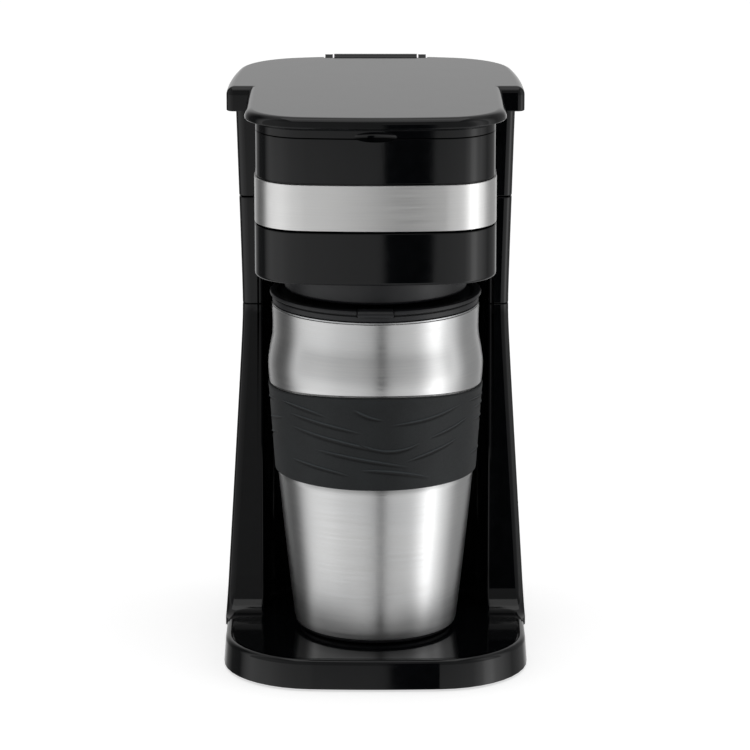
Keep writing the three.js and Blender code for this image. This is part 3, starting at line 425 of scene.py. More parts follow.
def applyModifiers(piece):
    graph = bpy.context.evaluated_depsgraph_get()
    mesh = bpy.data.meshes.new_from_object(piece.evaluated_get(graph))
    piece.modifiers.clear()
    piece.data = mesh
    return piece


def combine(piece, operation, *tools):
    for tool in tools:
        change = piece.modifiers.new("change", "BOOLEAN")
        change.operation = operation
        change.solver = "MANIFOLD"
        change.object = tool
        applyModifiers(piece)
        bpy.data.objects.remove(tool)
    return piece


def join(piece, *tools):
    return combine(piece, "UNION", *tools)


def cut(piece, *tools):
    return combine(piece, "DIFFERENCE", *tools)


def bevel(piece, width, angle=40, segments=2):
    edge = piece.modifiers.new("edge", "BEVEL")
    edge.width = width * mm
    edge.segments = segments
    edge.limit_method = "ANGLE"
    edge.angle_limit = math.radians(angle)
    edge.harden_normals = False
    return applyModifiers(piece)


def block(low, high, radius=0, axis=2, segments=6):
    # A box, with its four edges along one axis rounded.
    points = [
        [(low, high)[(i >> axisIndex) & 1][axisIndex] for axisIndex in range(3)] for i in range(8)
    ]
    faces = [(0, 2, 3, 1), (4, 5, 7, 6), (0, 1, 5, 4), (2, 6, 7, 3), (0, 4, 6, 2), (1, 3, 7, 5)]
    piece = addObject("block", points, faces)
    if radius:
        bm = bmesh.new()
        bm.from_mesh(piece.data)
        along = [
            e
            for e in bm.edges
            if abs((e.verts[0].co - e.verts[1].co).normalized()[axis]) > 0.99
        ]
        bmesh.ops.bevel(
            bm, geom=along, offset=radius * mm, segments=segments, affect="EDGES", profile=0.5
        )
        bm.to_mesh(piece.data)
        bm.free()
    return piece


def lathe(name, profile, sides=128, x=0, y=0):
    # Turns [radius, z] points that run up the outside, closed on the axis or on themselves.
    loops = profile[:-1] if profile[0] == profile[-1] else profile
    points, rows = [], []
    for radius, z in loops:
        count = sides if radius > 0 else 1
        rows.append(range(len(points), len(points) + count))
        for i in range(count):
            angle = 2 * math.pi * i / sides
            points.append((x + radius * math.cos(angle), y + radius * math.sin(angle), z))
    pairs = list(zip(rows, rows[1:]))
    if len(loops) < len(profile):
        pairs.append((rows[-1], rows[0]))
    faces = []
    for lower, upper in pairs:
        for i in range(sides):
            j = (i + 1) % sides
            if len(lower) == 1:
                faces.append((lower[0], upper[j], upper[i]))
            elif len(upper) == 1:
                faces.append((lower[i], lower[j], upper[0]))
            else:
                faces.append((lower[i], lower[j], upper[j], upper[i]))
    return addObject(name, points, faces)


def rod(axis, radius, low, high, a, b, sides=64):
    # A cylinder along x, y or z, at the other two coordinates.
    piece = lathe("rod", [(0, low), (radius, low), (radius, high), (0, high)], sides)
    turns = {
        "x": Matrix(((0, 0, 1, 0), (1, 0, 0, a * mm), (0, 1, 0, b * mm), (0, 0, 0, 1))),
        "y": Matrix(((0, 1, 0, a * mm), (0, 0, 1, 0), (1, 0, 0, b * mm), (0, 0, 0, 1))),
        "z": Matrix.Translation((a * mm, b * mm, 0)),
    }
    piece.data.transform(turns[axis])
    return piece


def loft(name, rings):
    # A skin over level outlines with the same number of points, capped at both ends.
    count = len(rings[0][0])
    points = [(x, y, z) for outline, z in rings for x, y in outline]
    faces = [tuple(reversed(range(count)))]
    for r in range(len(rings) - 1):
        for i in range(count):
            a, b = r * count + i, r * count + (i + 1) % count
            faces.append((a, b, b + count, a + count))
    last = (len(rings) - 1) * count
    faces.append(tuple(range(last, last + count)))
    return addObject(name, points, faces)


def arc(centre, radius, start, end, steps):
    angles = [start + (end - start) * i / steps for i in range(steps + 1)]
    return [(centre[0] + radius * math.cos(a), centre[1] + radius * math.sin(a)) for a in angles]


def roundedEdge(radius, steps=5):
    # Inset and rise of each level of a rounded edge, from the wall to the face.
    angles = [math.pi / 2 * i / steps for i in range(steps + 1)]
    return [(radius * (1 - math.cos(a)), radius * math.sin(a)) for a in angles]


def curveThrough(points, steps=6):
    # Catmull-Rom curve through profile points.
    ends = [points[0], *points, points[-1]]
    curve = []
    for p0, p1, p2, p3 in zip(ends, ends[1:], ends[2:], ends[3:]):
        for i in range(steps):
            t = i / steps
            curve.append(
                tuple(
                    0.5
                    * (
                        2 * b
                        + (c - a) * t
                        + (2 * a - 5 * b + 4 * c - d) * t * t
                        + (3 * b - a - 3 * c + d) * t ** 3
                    )
                    for a, b, c, d in zip(p0, p1, p2, p3)
                )
            )
    return [*curve, tuple(points[-1])]


def softened(node, width, angle=35, segments=2):
    # A copy of a small CAD piece with its edges broken.
    mesh = nodes[node].data.copy()
    mesh.materials.clear()
    bm = bmesh.new()
    bm.from_mesh(mesh)
    bmesh.ops.remove_doubles(bm, verts=bm.verts, dist=1e-6)
    bmesh.ops.dissolve_limit(
        bm, angle_limit=math.radians(1), verts=bm.verts, edges=bm.edges
    )
    bm.to_mesh(mesh)
    bm.free()
    if "custom_normal" in mesh.attributes:
        mesh.attributes.remove(mesh.attributes["custom_normal"])
    piece = bpy.data.objects.new(node + "Soft", mesh)
    scene.collection.objects.link(piece)
    return bevel(piece, width, angle, segments)


def place(piece, slot, body, *replaced, angle=30, weighted=True, finish=None):
    mesh = piece.data
    mesh.materials.clear()
    mesh.materials.append(finishes[finish or slot])
    mesh.shade_smooth()
    mesh.set_sharp_from_angle(angle=math.radians(angle))
    if weighted:
        normals = piece.modifiers.new("normals", "WEIGHTED_NORMAL")
        normals.keep_sharp = True
        applyModifiers(piece)
    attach(piece, body)
    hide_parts(*replaced)
    return piece


# Plans shared by the housings.

flat = 1e4  # radius of a side that is as good as straight
aside = 90  # beyond the machine on every side
cutFrom = 200  # tools that open the top run between these two heights
cutTo = 240
gap = 0.3

columnSize = {
    "depth": 162,
    "baseHalf": 62.4,
    "deckTop": 13,
    "waistZ": 138,
    "waistHalf": 54.7,
    "waistSoftness": 8,
    "taperAbove": 0.029,
    "taperBelow": 0.06,
    "depthShare": 0.6,  # how much the back follows the sides
    "wingFront": 2.4,
    "wingLean": 0.1,
    "wingEdge": 3.5,
    "innerEdge": 1.0,
    "footRadius": 15,
    "toe": 2.5,
    "wall": 2.4,
}

columnCurves = {"side": 340, "frontRadius": flat, "backRadius": 145, "backCorner": 30}

headShape = {
    "half": 48.2,
    "widest": 0,
    "front": -71,
    "back": 11.2,
    "side": flat,
    "frontRadius": 250,
    "backRadius": flat,
    "frontCorner": 21.5,
    "backCorner": 1,
}

bayShape = {"half": 46.5, "back": 21, "corner": 25}


def columnHalf(z):
    s = columnSize
    d = max(z, s["deckTop"]) - s["waistZ"]
    mean = (s["taperAbove"] - s["taperBelow"]) / 2
    spread = (s["taperAbove"] + s["taperBelow"]) / 2
    return min(s["waistHalf"] + mean * d + spread * math.hypot(d, s["waistSoftness"]), s["baseHalf"])


def wingFrontAt(z):
    s = columnSize
    return s["wingFront"] - s["wingLean"] * max(0, s["waistZ"] - max(z, s["deckTop"] + s["footRadius"]))


def footSweep(z):
    s = columnSize
    low = max(0, s["deckTop"] + s["footRadius"] - max(z, s["deckTop"]))
    return s["footRadius"] - math.sqrt(s["footRadius"] ** 2 - low ** 2)


def columnPlan(z):
    s = columnSize
    half = columnHalf(z)
    return {
        **columnCurves,
        "half": half,
        "widest": s["wingFront"] + s["wingEdge"],
        "front": wingFrontAt(z),
        "back": s["depth"] / 2 - s["depthShare"] * (s["baseHalf"] - half),
        "frontCorner": s["wingEdge"],
    }


def inset(plan, by):
    moved = dict(plan)
    for name in ("half", "side", "frontRadius", "backRadius", "back"):
        moved[name] = plan[name] - by
    moved["front"] = plan["front"] + by
    moved["frontCorner"] = max(plan["frontCorner"] - by, 0.8)
    moved["backCorner"] = max(plan["backCorner"] - by, 0.8)
    return moved


def cornerCentre(side, sideRadius, back, backRadius, radius):
    # Centre of the corner circle that touches the side and back circles from inside.
    one, two = sideRadius - radius, backRadius - radius
    step = back - side
    along = (one ** 2 - two ** 2 + step.length_squared) / (2 * step.length)
    across = math.sqrt(one ** 2 - along ** 2)
    unit = step.normalized()
    normal = Vector((-unit.y, unit.x))
    choices = [side + unit * along + normal * across * sign for sign in (1, -1)]
    return max(choices, key=lambda p: p.x + p.y)


def outline(plan, bay=None):
    # Closed plan outline from the middle of the front. A bay is a round-cornered notch there.
    front = plan["front"] + plan["frontRadius"]
    nearX = plan["half"] - plan["frontCorner"]
    nearY = front - math.sqrt((plan["frontRadius"] - plan["frontCorner"]) ** 2 - nearX ** 2)
    side = Vector((plan["half"] - plan["side"], max(plan["widest"], nearY + 0.5)))
    back = Vector((0, plan["back"] - plan["backRadius"]))
    far = cornerCentre(side, plan["side"], back, plan["backRadius"], plan["backCorner"])
    nearAngle = math.atan2(nearY - front, nearX)
    sideAngle = math.atan2(far.y - side.y, far.x - side.x)
    backAngle = math.atan2(far.y - back.y, far.x - back.x)
    if bay:
        edge = bay["edge"]
        corner = (bay["half"] - bay["corner"], bay["back"] - bay["corner"])
        wingEdge = (bay["half"] + edge, plan["front"] + (bay["half"] + edge) ** 2 / (2 * front) + edge)
        half = [(0, bay["back"])]
        half += arc(corner, bay["corner"], math.pi / 2, 0, 16)
        half += arc(wingEdge, edge, math.pi, 1.5 * math.pi, 5)
    else:
        half = arc((0, front), plan["frontRadius"], -math.pi / 2, nearAngle, 16)[:-1]
    half += arc((nearX, nearY), plan["frontCorner"], nearAngle, 0, 10)
    half += arc(side, plan["side"], 0, sideAngle, 12)[:-1]
    half += arc(far, plan["backCorner"], sideAngle, backAngle, 12)[:-1]
    half += arc(back, plan["backRadius"], backAngle, math.pi / 2, 12)
    return half + [(-x, y) for x, y in reversed(half[1:-1])]


def levels(bottom, top, step):
    count = max(1, round((top - bottom) / step))
    return [bottom + (top - bottom) * i / count for i in range(count + 1)]


def column(name, bottom, top, by=0, edges=(0, 0), withBay=False, footed=False):
    # The column's skin between two heights, moved in all round, its end edges rounded.
    s = columnSize
    heights = [(z, 0) for z in levels(bottom + edges[0], top - edges[1], 3)]
    if footed:
        start = s["deckTop"] + s["footRadius"]
        sweep = [start - s["footRadius"] * math.cos(math.pi / 2 * i / 12) for i in range(13)]
        heights = [(z, 0) for z in [s["deckTop"] - 3, *sweep, *levels(start, top - edges[1], 3)[1:]]]
    if edges[0]:
        heights = [(bottom + edges[0] - up, i) for i, up in reversed(roundedEdge(edges[0])[1:])] + heights
    if edges[1]:
        heights += [(top - edges[1] + up, i) for i, up in roundedEdge(edges[1])[1:]]
    rings = []
    for z, edgeInset in heights:
        plan = inset(columnPlan(z), by + edgeInset)
        bay = None
        if footed:
            plan["front"] -= footSweep(z)
        if withBay:
            toe = 0
            if footed:
                low = min(max(0, s["deckTop"] + s["toe"] - z), s["toe"])
                toe = s["toe"] - math.sqrt(s["toe"] ** 2 - low ** 2)
            grown = by + edgeInset - toe
            bay = {
                "half": bayShape["half"] + grown,
                "back": bayShape["back"] + grown,
                "corner": bayShape["corner"] + grown,
                "edge": max(s["innerEdge"] - by - edgeInset, 0.3),
            }
        rings.append((outline(plan, bay), z))
    return loft(name, rings)


def prism(plan, bottom, top, edges=(0, 0), bay=None):
    rings = [(outline(plan, bay), bottom), (outline(plan, bay), top)]
    if edges[0] or edges[1]:
        under = reversed(roundedEdge(edges[0]))
        rings = [(outline(inset(plan, i)), bottom + edges[0] - up) for i, up in under]
        rings += [(outline(inset(plan, i)), top - edges[1] + up) for i, up in roundedEdge(edges[1])]
    return loft("prism", rings)


# Lower housing.

lowerSize = {
    "frontRadius": 450,
    "frontCorner": 38,
    "draft": 0.9,
    "rim": 2.0,
    "bottomEdge": 0.5,
    "seamEdge": 0.35,
    "grooveIn": 2.3,
    "grooveWidth": 0.55,
    "grooveDepth": 0.5,
    "padHalf": (13, 10),
    "padDepth": 6,
    "holeHalf": (8.5, 6),
    "glandSeat": 7.2,
    "glandHole": 4.8,
    "glandFlange": 1.6,
    "flange": 1.2,
}


def basePlan(z, by=0):
    s = lowerSize
    front = {
        "front": -columnSize["depth"] / 2,
        "frontRadius": s["frontRadius"],
        "frontCorner": s["frontCorner"],
    }
    return inset({**columnPlan(0), **front}, by + s["draft"] * z / columnSize["deckTop"])


def baseBlock(by, bottom, top, rim, foot=0):
    rings = []
    if foot:
        rings += [
            (outline(inset(basePlan(bottom, by), i)), bottom + foot - up)
            for i, up in reversed(roundedEdge(foot))
        ]
    else:
        rings.append((outline(basePlan(bottom, by)), bottom))
    for i, up in roundedEdge(rim, 8):
        z = top - rim + up
        rings.append((outline(inset(basePlan(z, by), i)), z))
    return loft("base", rings)


def lowerHousing():
    s, c = lowerSize, columnSize
    low, high = boxOf("lower_housing")
    deck, wall = c["deckTop"], c["wall"]
    piece = baseBlock(0, low.z, deck, s["rim"], s["bottomEdge"])
    rim = outline(basePlan(deck, s["grooveIn"]))
    groove = loft("groove", [(rim, deck - s["grooveDepth"]), (rim, deck + 1)])
    island = outline(basePlan(deck, s["grooveIn"] + s["grooveWidth"]))
    cut(groove, loft("island", [(island, deck - 2), (island, deck + 2)]))
    cut(piece, groove)
    join(piece, column("wings", deck, high.z, 0, (0, s["seamEdge"]), True, True))
    cut(piece, baseBlock(wall, low.z - 1, deck - wall, 1))
    cut(piece, column("room", deck - 4, high.z + 1, wall, withBay=True))
    switchLow, switchHigh = boxOf("switch_body")
    y, z = (switchLow.y + switchHigh.y) / 2, (switchLow.z + switchHigh.z) / 2
    face = switchHigh.x - s["flange"]
    a, b = s["padHalf"]
    join(piece, block((face - s["padDepth"], y - a, z - b), (face, y + a, z + b), 3, 0))
    cut(piece, block((face, y - a, z - b), (face + 6, y + a, z + b), 3, 0))
    a, b = s["holeHalf"]
    cut(piece, block((40, y - a, z - b), (face + 6, y + a, z + b), 0.5, 0))
    glandLow, glandHigh = boxOf("cord_gland")
    x, z = (glandLow.x + glandHigh.x) / 2, (glandLow.z + glandHigh.z) / 2
    seat = glandHigh.y - s["glandFlange"]
    cut(piece, rod("y", s["glandSeat"], seat, seat + 9, x, z))
    cut(piece, rod("y", s["glandHole"], 60, seat + 9, x, z))
    piece.name = "lowerHousingShell"
    return place(piece, "gloss_black", "machine", "lower_housing")


# Middle and top of the housing.

midSize = {"headBottom": 164.9, "underEdge": 1.4, "seamEdge": 0.35, "drumRadius": 37.6}


def midHousing():
    s, c = midSize, columnSize
    low, high = boxOf("mid_housing")
    drumLow, drumHigh = boxOf("filter_holder")
    headBottom = s["headBottom"]
    wall = c["wall"]
    piece = column("midHousingShell", low.z, high.z, 0, (s["seamEdge"], s["seamEdge"]), True)
    join(piece, prism(headShape, headBottom, high.z, (s["underEdge"], s["seamEdge"])))
    inner = {**inset(headShape, wall), "back": headShape["back"]}
    cut(piece, column("room", low.z - 1, high.z + 1, wall, withBay=True))
    cut(piece, prism(inner, headBottom + wall, high.z + 1))
    drumY = (drumLow.y + drumHigh.y) / 2
    cut(piece, rod("z", s["drumRadius"], 100, high.z - 8, 0, drumY, 128))
    return place(piece, "gloss_black", "machine", "mid_housing")


topSize = {
    "edge": 0.35,
    "headInset": 0.5,
    "recess": 1.1,
    "bandSeam": 0.6,
    "shellTop": 223.6,
    "deckTop": 218.4,
    "deckPlate": 2.4,
    "rimTop": 225.1,
    "rimFront": 52,
    "drumHole": 37.6,
    "earWidth": 3.2,
    "earRadius": 3.4,
    "pinHole": 1.8,
    "tankFit": 3.6,
    "channel": (8, 40),
    "scoop": (10.2, 3.4, 2.5),
}


def hingeLine():
    low, high = boxOf("hinge_pin")
    return (low.y + high.y) / 2, (low.z + high.z) / 2, high.x


def ball(size, centre):
    # A sphere stretched to three half-sizes.
    profile = [(max(math.cos(a), 0), math.sin(a)) for a in [math.pi * (i / 24 - 0.5) for i in range(25)]]
    profile[0], profile[-1] = (0, -1), (0, 1)
    piece = lathe("ball", profile, 48)
    centre = [c * mm for c in centre]
    piece.data.transform(Matrix.Translation(centre) @ Matrix.Diagonal((*size, 1)))
    return piece


def fingerScoop():
    # Hollow under the middle of the lid's front edge, where a finger lifts it.
    return ball(topSize["scoop"], (0, headShape["front"] - 1.3, lidSize["skirtBottom"] + 0.5))


def slab(outlineYz, low, high):
    # A plate with its outline in the y-z plane, from one x to another.
    count = len(outlineYz)
    points = [(x, y, z) for x in (low, high) for y, z in outlineYz]
    faces = [tuple(reversed(range(count))), tuple(range(count, 2 * count))]
    faces += [(i, (i + 1) % count, count + (i + 1) % count, count + i) for i in range(count)]
    return addObject("slab", points, faces)


def tankBlock(by, bottom, top):
    # Follows the inside of the column, with a flat front behind the bay.
    s, c = topSize, columnSize
    plan = inset(columnPlan(c["waistZ"]), s["tankFit"] + by)
    front = bayShape["back"] + s["tankFit"] + by
    piece = prism(plan, bottom, top)
    cut(piece, block((-aside, -aside, bottom - 1), (aside, front, top + 1)))
    return piece


def tankChannel(by, bottom, top):
    # Notch in the tank's front for the riser tube.
    half, back = topSize["channel"]
    return block((-half - by, bayShape["back"], bottom), (half + by, back + by, top), 2, 2)


def topHousing():
    s, c = topSize, columnSize
    bottom = boxOf("top_housing")[0].z
    bandTop = boxOf("head_band")[1].z
    drumLow, drumHigh = boxOf("filter_holder")
    drumY = (drumLow.y + drumHigh.y) / 2
    hingeY, hingeZ, pinEnd = hingeLine()
    wall = c["wall"]
    piece = column("topHousingShell", bottom, s["shellTop"], 0, (s["edge"], s["edge"]))
    step = bandTop + s["bandSeam"]
    shell = inset(headShape, s["headInset"])
    recess = outline(inset(headShape, s["recess"]))
    edge = s["edge"]
    rings = [(recess, bottom), (recess, step)]
    rings += [(outline(inset(shell, i)), step + edge - up) for i, up in reversed(roundedEdge(edge))]
    rings += [(outline(inset(shell, i)), s["shellTop"] - edge + up) for i, up in roundedEdge(edge)]
    join(piece, loft("head", rings))
    rim = column("rim", s["shellTop"] - 2, s["rimTop"], 0, (0, 0.3))
    join(piece, cut(rim, block((-aside, -aside, cutFrom), (aside, s["rimFront"], cutTo))))
    inner = {**inset(headShape, wall + s["recess"]), "back": headShape["back"]}
    roomTop = s["rimTop"] + 2.9
    cut(piece, column("room", bottom - 1, roomTop, wall), prism(inner, bottom - 1, roomTop))
    deckBottom = s["deckTop"] - s["deckPlate"]
    deck = column("deck", deckBottom, s["deckTop"], wall - 0.5, (0, 0.3))
    join(deck, prism({**inset(headShape, wall), "back": headShape["back"]}, deckBottom, s["deckTop"]))
    cut(deck, rod("z", s["drumHole"], cutFrom, cutTo, 0, drumY, 128), tankBlock(-0.5, cutFrom, cutTo))
    join(piece, deck)
    for side in (-1, 1):
        near = pinEnd + gap - s["earWidth"]
        ends = sorted((side * near, side * (near + s["earWidth"])))
        r = s["earRadius"]
        foot = s["deckTop"] - 1
        shape = [(hingeY - r, foot), (hingeY + 0.2, foot), (hingeY + r, hingeZ - 3)]
        shape += arc((hingeY, hingeZ), r, 0, math.pi, 24)
        join(piece, slab(shape, *ends))
    cut(piece, rod("x", s["pinHole"], -30, 30, hingeY, hingeZ), fingerScoop())
    return place(piece, "gloss_black", "machine", "top_housing")


bandSize = {"thickness": 0.8, "edge": 0.15}


def headBand():
    s = bandSize
    low, high = boxOf("head_band")
    piece = prism(headShape, low.z, high.z, (s["edge"], s["edge"]))
    piece.name = "headBand"
    inner = {**inset(headShape, s["thickness"]), "back": headShape["back"] + 5}
    behind = block((-aside, high.y, low.z - 1), (aside, aside, high.z + 1))
    cut(piece, prism(inner, low.z - 1, high.z + 1), behind)
    return place(piece, "brushed_steel", "machine", "head_band", finish="band_steel")


# Lid and hinge.

lidSize = {
    "wall": 2.2,
    "edge": 3.4,
    "overhang": 3.8,
    "lipBottom": 228.6,
    "skirtBottom": 223.9,
    "skirtTop": 226.8,
    "sideBottom": 222.3,
    "rearBottom": 226.5,
    "stepY": 46,
    "cornerBack": 12,
    "top": 232.4,
    "rearHalf": 60.9,
    "rearFront": -1,
    "rearBack": 80.2,
    "rearCorner": 3,
    "barrel": 3.6,
    "barrelHalf": 17.6,
    "headRoom": 0.7,
}


def tonguePlan():
    s = lidSize
    return {**inset(headShape, -s["overhang"]), "back": s["stepY"], "backCorner": s["cornerBack"]}


def rearPlan():
    s = lidSize
    corners = {"frontCorner": s["rearCorner"], "backCorner": columnCurves["backCorner"] + 2}
    ends = {"widest": s["rearFront"], "front": s["rearFront"], "back": s["rearBack"]}
    return {**columnCurves, **corners, **ends, "half": s["rearHalf"]}


def lidShell():
    s = lidSize
    top = s["top"]
    hingeY, hingeZ = hingeLine()[:2]
    edge = [(i, top - s["edge"] + up) for i, up in roundedEdge(s["edge"], 10)]
    skirt = {**inset(tonguePlan(), s["overhang"] + topSize["headInset"]), "back": s["stepY"]}
    lip = tonguePlan()
    rings = [(outline(skirt), s["skirtBottom"]), (outline(skirt), s["skirtTop"])]
    for share in (0.25, 0.5, 0.75):
        # the underside of the lip flares out in a hollow curve
        z = s["skirtTop"] + (s["lipBottom"] - 0.3 - s["skirtTop"]) * share
        by = (s["overhang"] + topSize["headInset"]) * (1 - share ** 1.6)
        rings.append((outline({**inset(lip, by), "back": s["stepY"]}), z))
    rings += [(outline(inset(lip, 0.25)), s["lipBottom"] - 0.3), (outline(lip), s["lipBottom"])]
    rings += [(outline(inset(lip, i)), z) for i, z in edge]
    piece = loft("lidShell", rings)
    rear = [(outline(inset(rearPlan(), 0.3)), s["sideBottom"]), (outline(rearPlan()), s["sideBottom"] + 0.3)]
    rear += [(outline(inset(rearPlan(), i)), z) for i, z in edge]
    join(piece, loft("rear", rear))
    ceiling = top - s["wall"]
    for plan in (skirt, rearPlan()):
        cut(piece, prism(inset(plan, s["wall"]), cutFrom, ceiling))
    room = {**inset(headShape, -s["headRoom"]), "back": s["stepY"]}
    cut(piece, prism(room, cutFrom, s["skirtBottom"]))
    rise = s["rearBottom"] - s["sideBottom"]
    far = 2 * aside
    step = [(s["stepY"], cutFrom), (far, cutFrom), (far, s["rearBottom"])]
    step += [(s["stepY"] + rise, s["rearBottom"]), (s["stepY"], s["sideBottom"])]
    cut(piece, slab(step, -aside, aside))
    join(piece, rod("x", s["barrel"], -s["barrelHalf"], s["barrelHalf"], hingeY, hingeZ))
    for side in (-1, 1):
        width = topSize["earWidth"] + 4 * gap
        ends = sorted((side * s["barrelHalf"], side * (s["barrelHalf"] + width)))
        front = hingeY - s["barrel"] - gap
        cut(piece, block((ends[0], front, cutFrom), (ends[1], far, cutTo)))
    cut(piece, rod("x", topSize["pinHole"], -30, 30, hingeY, hingeZ), fingerScoop())
    return place(piece, "gloss_black", "lid", "lid")


def lidUnderside():
    s = lidSize
    low, high = boxOf("lid_inner_cover")
    by = s["overhang"] + topSize["headInset"] + s["wall"] + gap
    front = {**inset(tonguePlan(), by), "back": s["stepY"]}
    rear = {**inset(rearPlan(), 2 * s["wall"] + 1.2), "back": s["rearBack"] - 14, "backCorner": 18}
    piece = prism(front, low.z, high.z, (0.4, 0))
    piece.name = "lidUnderside"
    join(piece, prism(rear, low.z, high.z, (0.4, 0)))
    place(piece, "matt_black", "lid", "lid_inner_cover")
    low, high = boxOf("shower_head")
    radius, ringRadius = 20, 13
    y = low.y + radius
    profile = [(0, low.z), (radius - 1, low.z), (radius, low.z + 0.7), (radius, high.z), (0, high.z)]
    rose = lathe("showerRose", profile, 96, 0, y)
    join(rose, block((-5, y, low.z + 0.001), (5, high.y, high.z - 0.001)))
    for i in range(8):
        angle = i / 8 * 2 * math.pi
        x = ringRadius * math.cos(angle)
        cut(rose, rod("z", 1.2, cutFrom, cutTo, x, y + ringRadius * math.sin(angle), 24))
    place(rose, "matt_black", "lid", "shower_head")


def hingePin():
    y, z, end = hingeLine()
    piece = bevel(rod("x", 1.5, -end, end, y, z, 48), 0.25)
    piece.name = "hingeRod"
    place(piece, "plain_steel", "machine", "hinge_pin")


lowerHousing()
midHousing()
topHousing()
headBand()
print("housings and band made")
lidShell()
lidUnderside()
hingePin()
print("lid and hinge made")


# Filter and tank.


def filterParts():
    low, high = boxOf("filter_holder")
    y = (low.y + high.y) / 2
    radius, wall, edge, outlet, reach = 37, 1.8, 1.5, 4, 2.6
    rim = high.z
    flange = rim - 1.5
    inner = radius - wall
    corner = arc((radius - edge, low.z + edge), edge, -math.pi / 2, 0, 6)
    profile = [(outlet, low.z), *corner, (radius, flange)]
    profile += [(radius + reach - 0.3, flange), (radius + reach, flange + 0.3)]
    profile += [(radius + reach, rim - 0.3), (radius + reach - 0.3, rim)]
    profile += [(inner + 0.3, rim), (inner, rim - 0.3), (inner, low.z + 7)]
    profile += [(outlet, low.z + 2), (outlet, low.z)]
    place(lathe("filterDrum", profile, 160, 0, y), "matt_black", "machine", "filter_holder")
    basket = softened("filter_frame", 0.25, 30)
    place(basket, "matt_black", "machine", "filter_frame", angle=40)
    low, high = boxOf("filter_mesh")
    top = high.x
    bottom = top - 8
    cup = [(0, low.z), (bottom - 0.6, low.z), (bottom, low.z + 0.6), (top, high.z), (top - 0.5, high.z)]
    cup += [(bottom - 0.5, low.z + 0.9), (bottom - 0.9, low.z + 0.5), (0, low.z + 0.5)]
    place(lathe("filterCup", cup, 96, 0, y), "plain_steel", "machine", "filter_mesh")


def waterTank():
    low, high = boxOf("water_tank")
    wall, spout, x, y = 1.8, 9, -24, 48  # the spout sits over the tube at x, y
    floor = low.z + spout
    below = low.z - spout
    piece = cut(tankBlock(0, floor, high.z - 1.1), tankChannel(0, below, cutTo))
    rim = cut(tankBlock(-1.0, high.z - 1.6, high.z), tankChannel(-0.6, below, cutTo))
    join(piece, rim)
    cut(piece, cut(tankBlock(wall, floor + 2, cutTo), tankChannel(wall, below, cutTo)))
    join(piece, rod("z", 2.7, low.z, floor + 1, x, y))
    cut(piece, rod("z", 1.5, low.z - 1, floor + 5, x, y))
    piece.name = "waterTank"
    place(piece, "matt_black", "machine", "water_tank")


filterParts()
waterTank()
print("filter and tank made")


# Travel mug.

mugSize = {
    "sides": 192,
    "wall": 0.8,
    "lower": [(33.3, 17.5), (34.9, 31), (37.6, 56), (39.9, 79.4)],
    "seat": [(39.6, 80.0), (42.1, 117.9)],
    "upper": [
        (43.2, 118.5), (43.6, 122), (43.6, 126), (42.9, 131), (42.0, 136), (41.8, 141), (42.0, 148.6),
    ],
    "sleeve": [(41.1, 80.4), (43.6, 117.5)],
    "sleeveThickness": 1.2,
    "wave": 1.6,  # how much the sleeve's top edge rises at the front
    "waveReach": 7,
    "engraving": 0.34,
}


def mugCentre():
    low, high = boxOf("mug_foot")
    return (low.y + high.y) / 2


def waveUp(piece):
    # Lifts what is near the sleeve's top edge at the front and lowers it at the sides.
    s = mugSize
    y0 = mugCentre()
    top = s["sleeve"][1][1]
    for vertex in piece.data.vertices:
        x, y, z = [c / mm for c in vertex.co]
        away = min(abs(z - top) / s["waveReach"], 1)
        share = (1 - away * away) ** 2
        vertex.co.z += s["wave"] * share * math.cos(2 * math.atan2(x, y0 - y)) * mm
    return piece


def mugSteel():
    s = mugSize
    y = mugCentre()
    outer = [(32.2, 15.2), (32.7, 15.5), *curveThrough(s["lower"], 8)]
    (r0, z0), (r1, z1) = s["seat"]
    outer += [(r0 + (r1 - r0) * i / 20, z0 + (z1 - z0) * i / 20) for i in range(21)]
    outer += curveThrough(s["upper"], 5)
    outer += [(outer[-1][0] - 0.2, outer[-1][1] + 0.15)]
    inside = [(r - s["wall"], z) for r, z in reversed(outer)]
    shell = lathe("mugSteelShell", [*outer, *inside, outer[0]], s["sides"], 0, y)
    place(waveUp(shell), "brushed_steel", "mug", "mug_shell", weighted=False, angle=35)
    top = boxOf("mug_liner")[1].z
    line = [(28, 19), (29.4, 19.6), (30, 22), (37.6, 80), (39.4, 118), (39.6, top - 0.5)]
    profile = [(0, 19), *line, (41.7, top - 0.5), (41.7, top), (38.9, top)]
    profile += [(r - 0.7, z + 0.4) for r, z in reversed(line[:-1])] + [(0, 19.7)]
    place(lathe("mugLiner", profile, 128, 0, y), "plain_steel", "mug", "mug_liner", angle=40)
    base = [(0, 14.5), (26, 14.5), (27, 13.3), (30.2, 13.3), (30.8, 13.6)]
    base += [(31, 14.1), (31, 14.6), (30.9, 17.5), (0, 17.5)]
    place(lathe("mugBase", base, 128, 0, y), "matt_black", "mug", "mug_foot")


# Strokes engraved in the sleeve: degrees round from the front, share of the height, length in
# degrees, rise over the length in mm, bow in mm, half-width in mm. The set repeats three times.
strokes = [
    (-30, 0.70, 46, -4.6, 0.2, 0.55), (-22, 0.52, 62, -7.6, 0.3, 0.6), (-8, 0.33, 54, -6.2, 0.2, 0.55),
    (8, 0.52, 34, -0.4, -3.4, 0.5), (-4, 0.84, 16, -3.6, -0.8, 0.45), (12, 0.16, 40, -4.6, 0.8, 0.6),
    (-34, 0.20, 40, -3.4, 0.2, 0.5), (30, 0.80, 44, 5.0, -1.2, 0.5), (34, 0.40, 34, 6.2, -0.4, 0.5),
    (45, 0.62, 30, 5.0, -0.4, 0.45), (-44, 0.84, 34, -3.0, 0.2, 0.5),
]


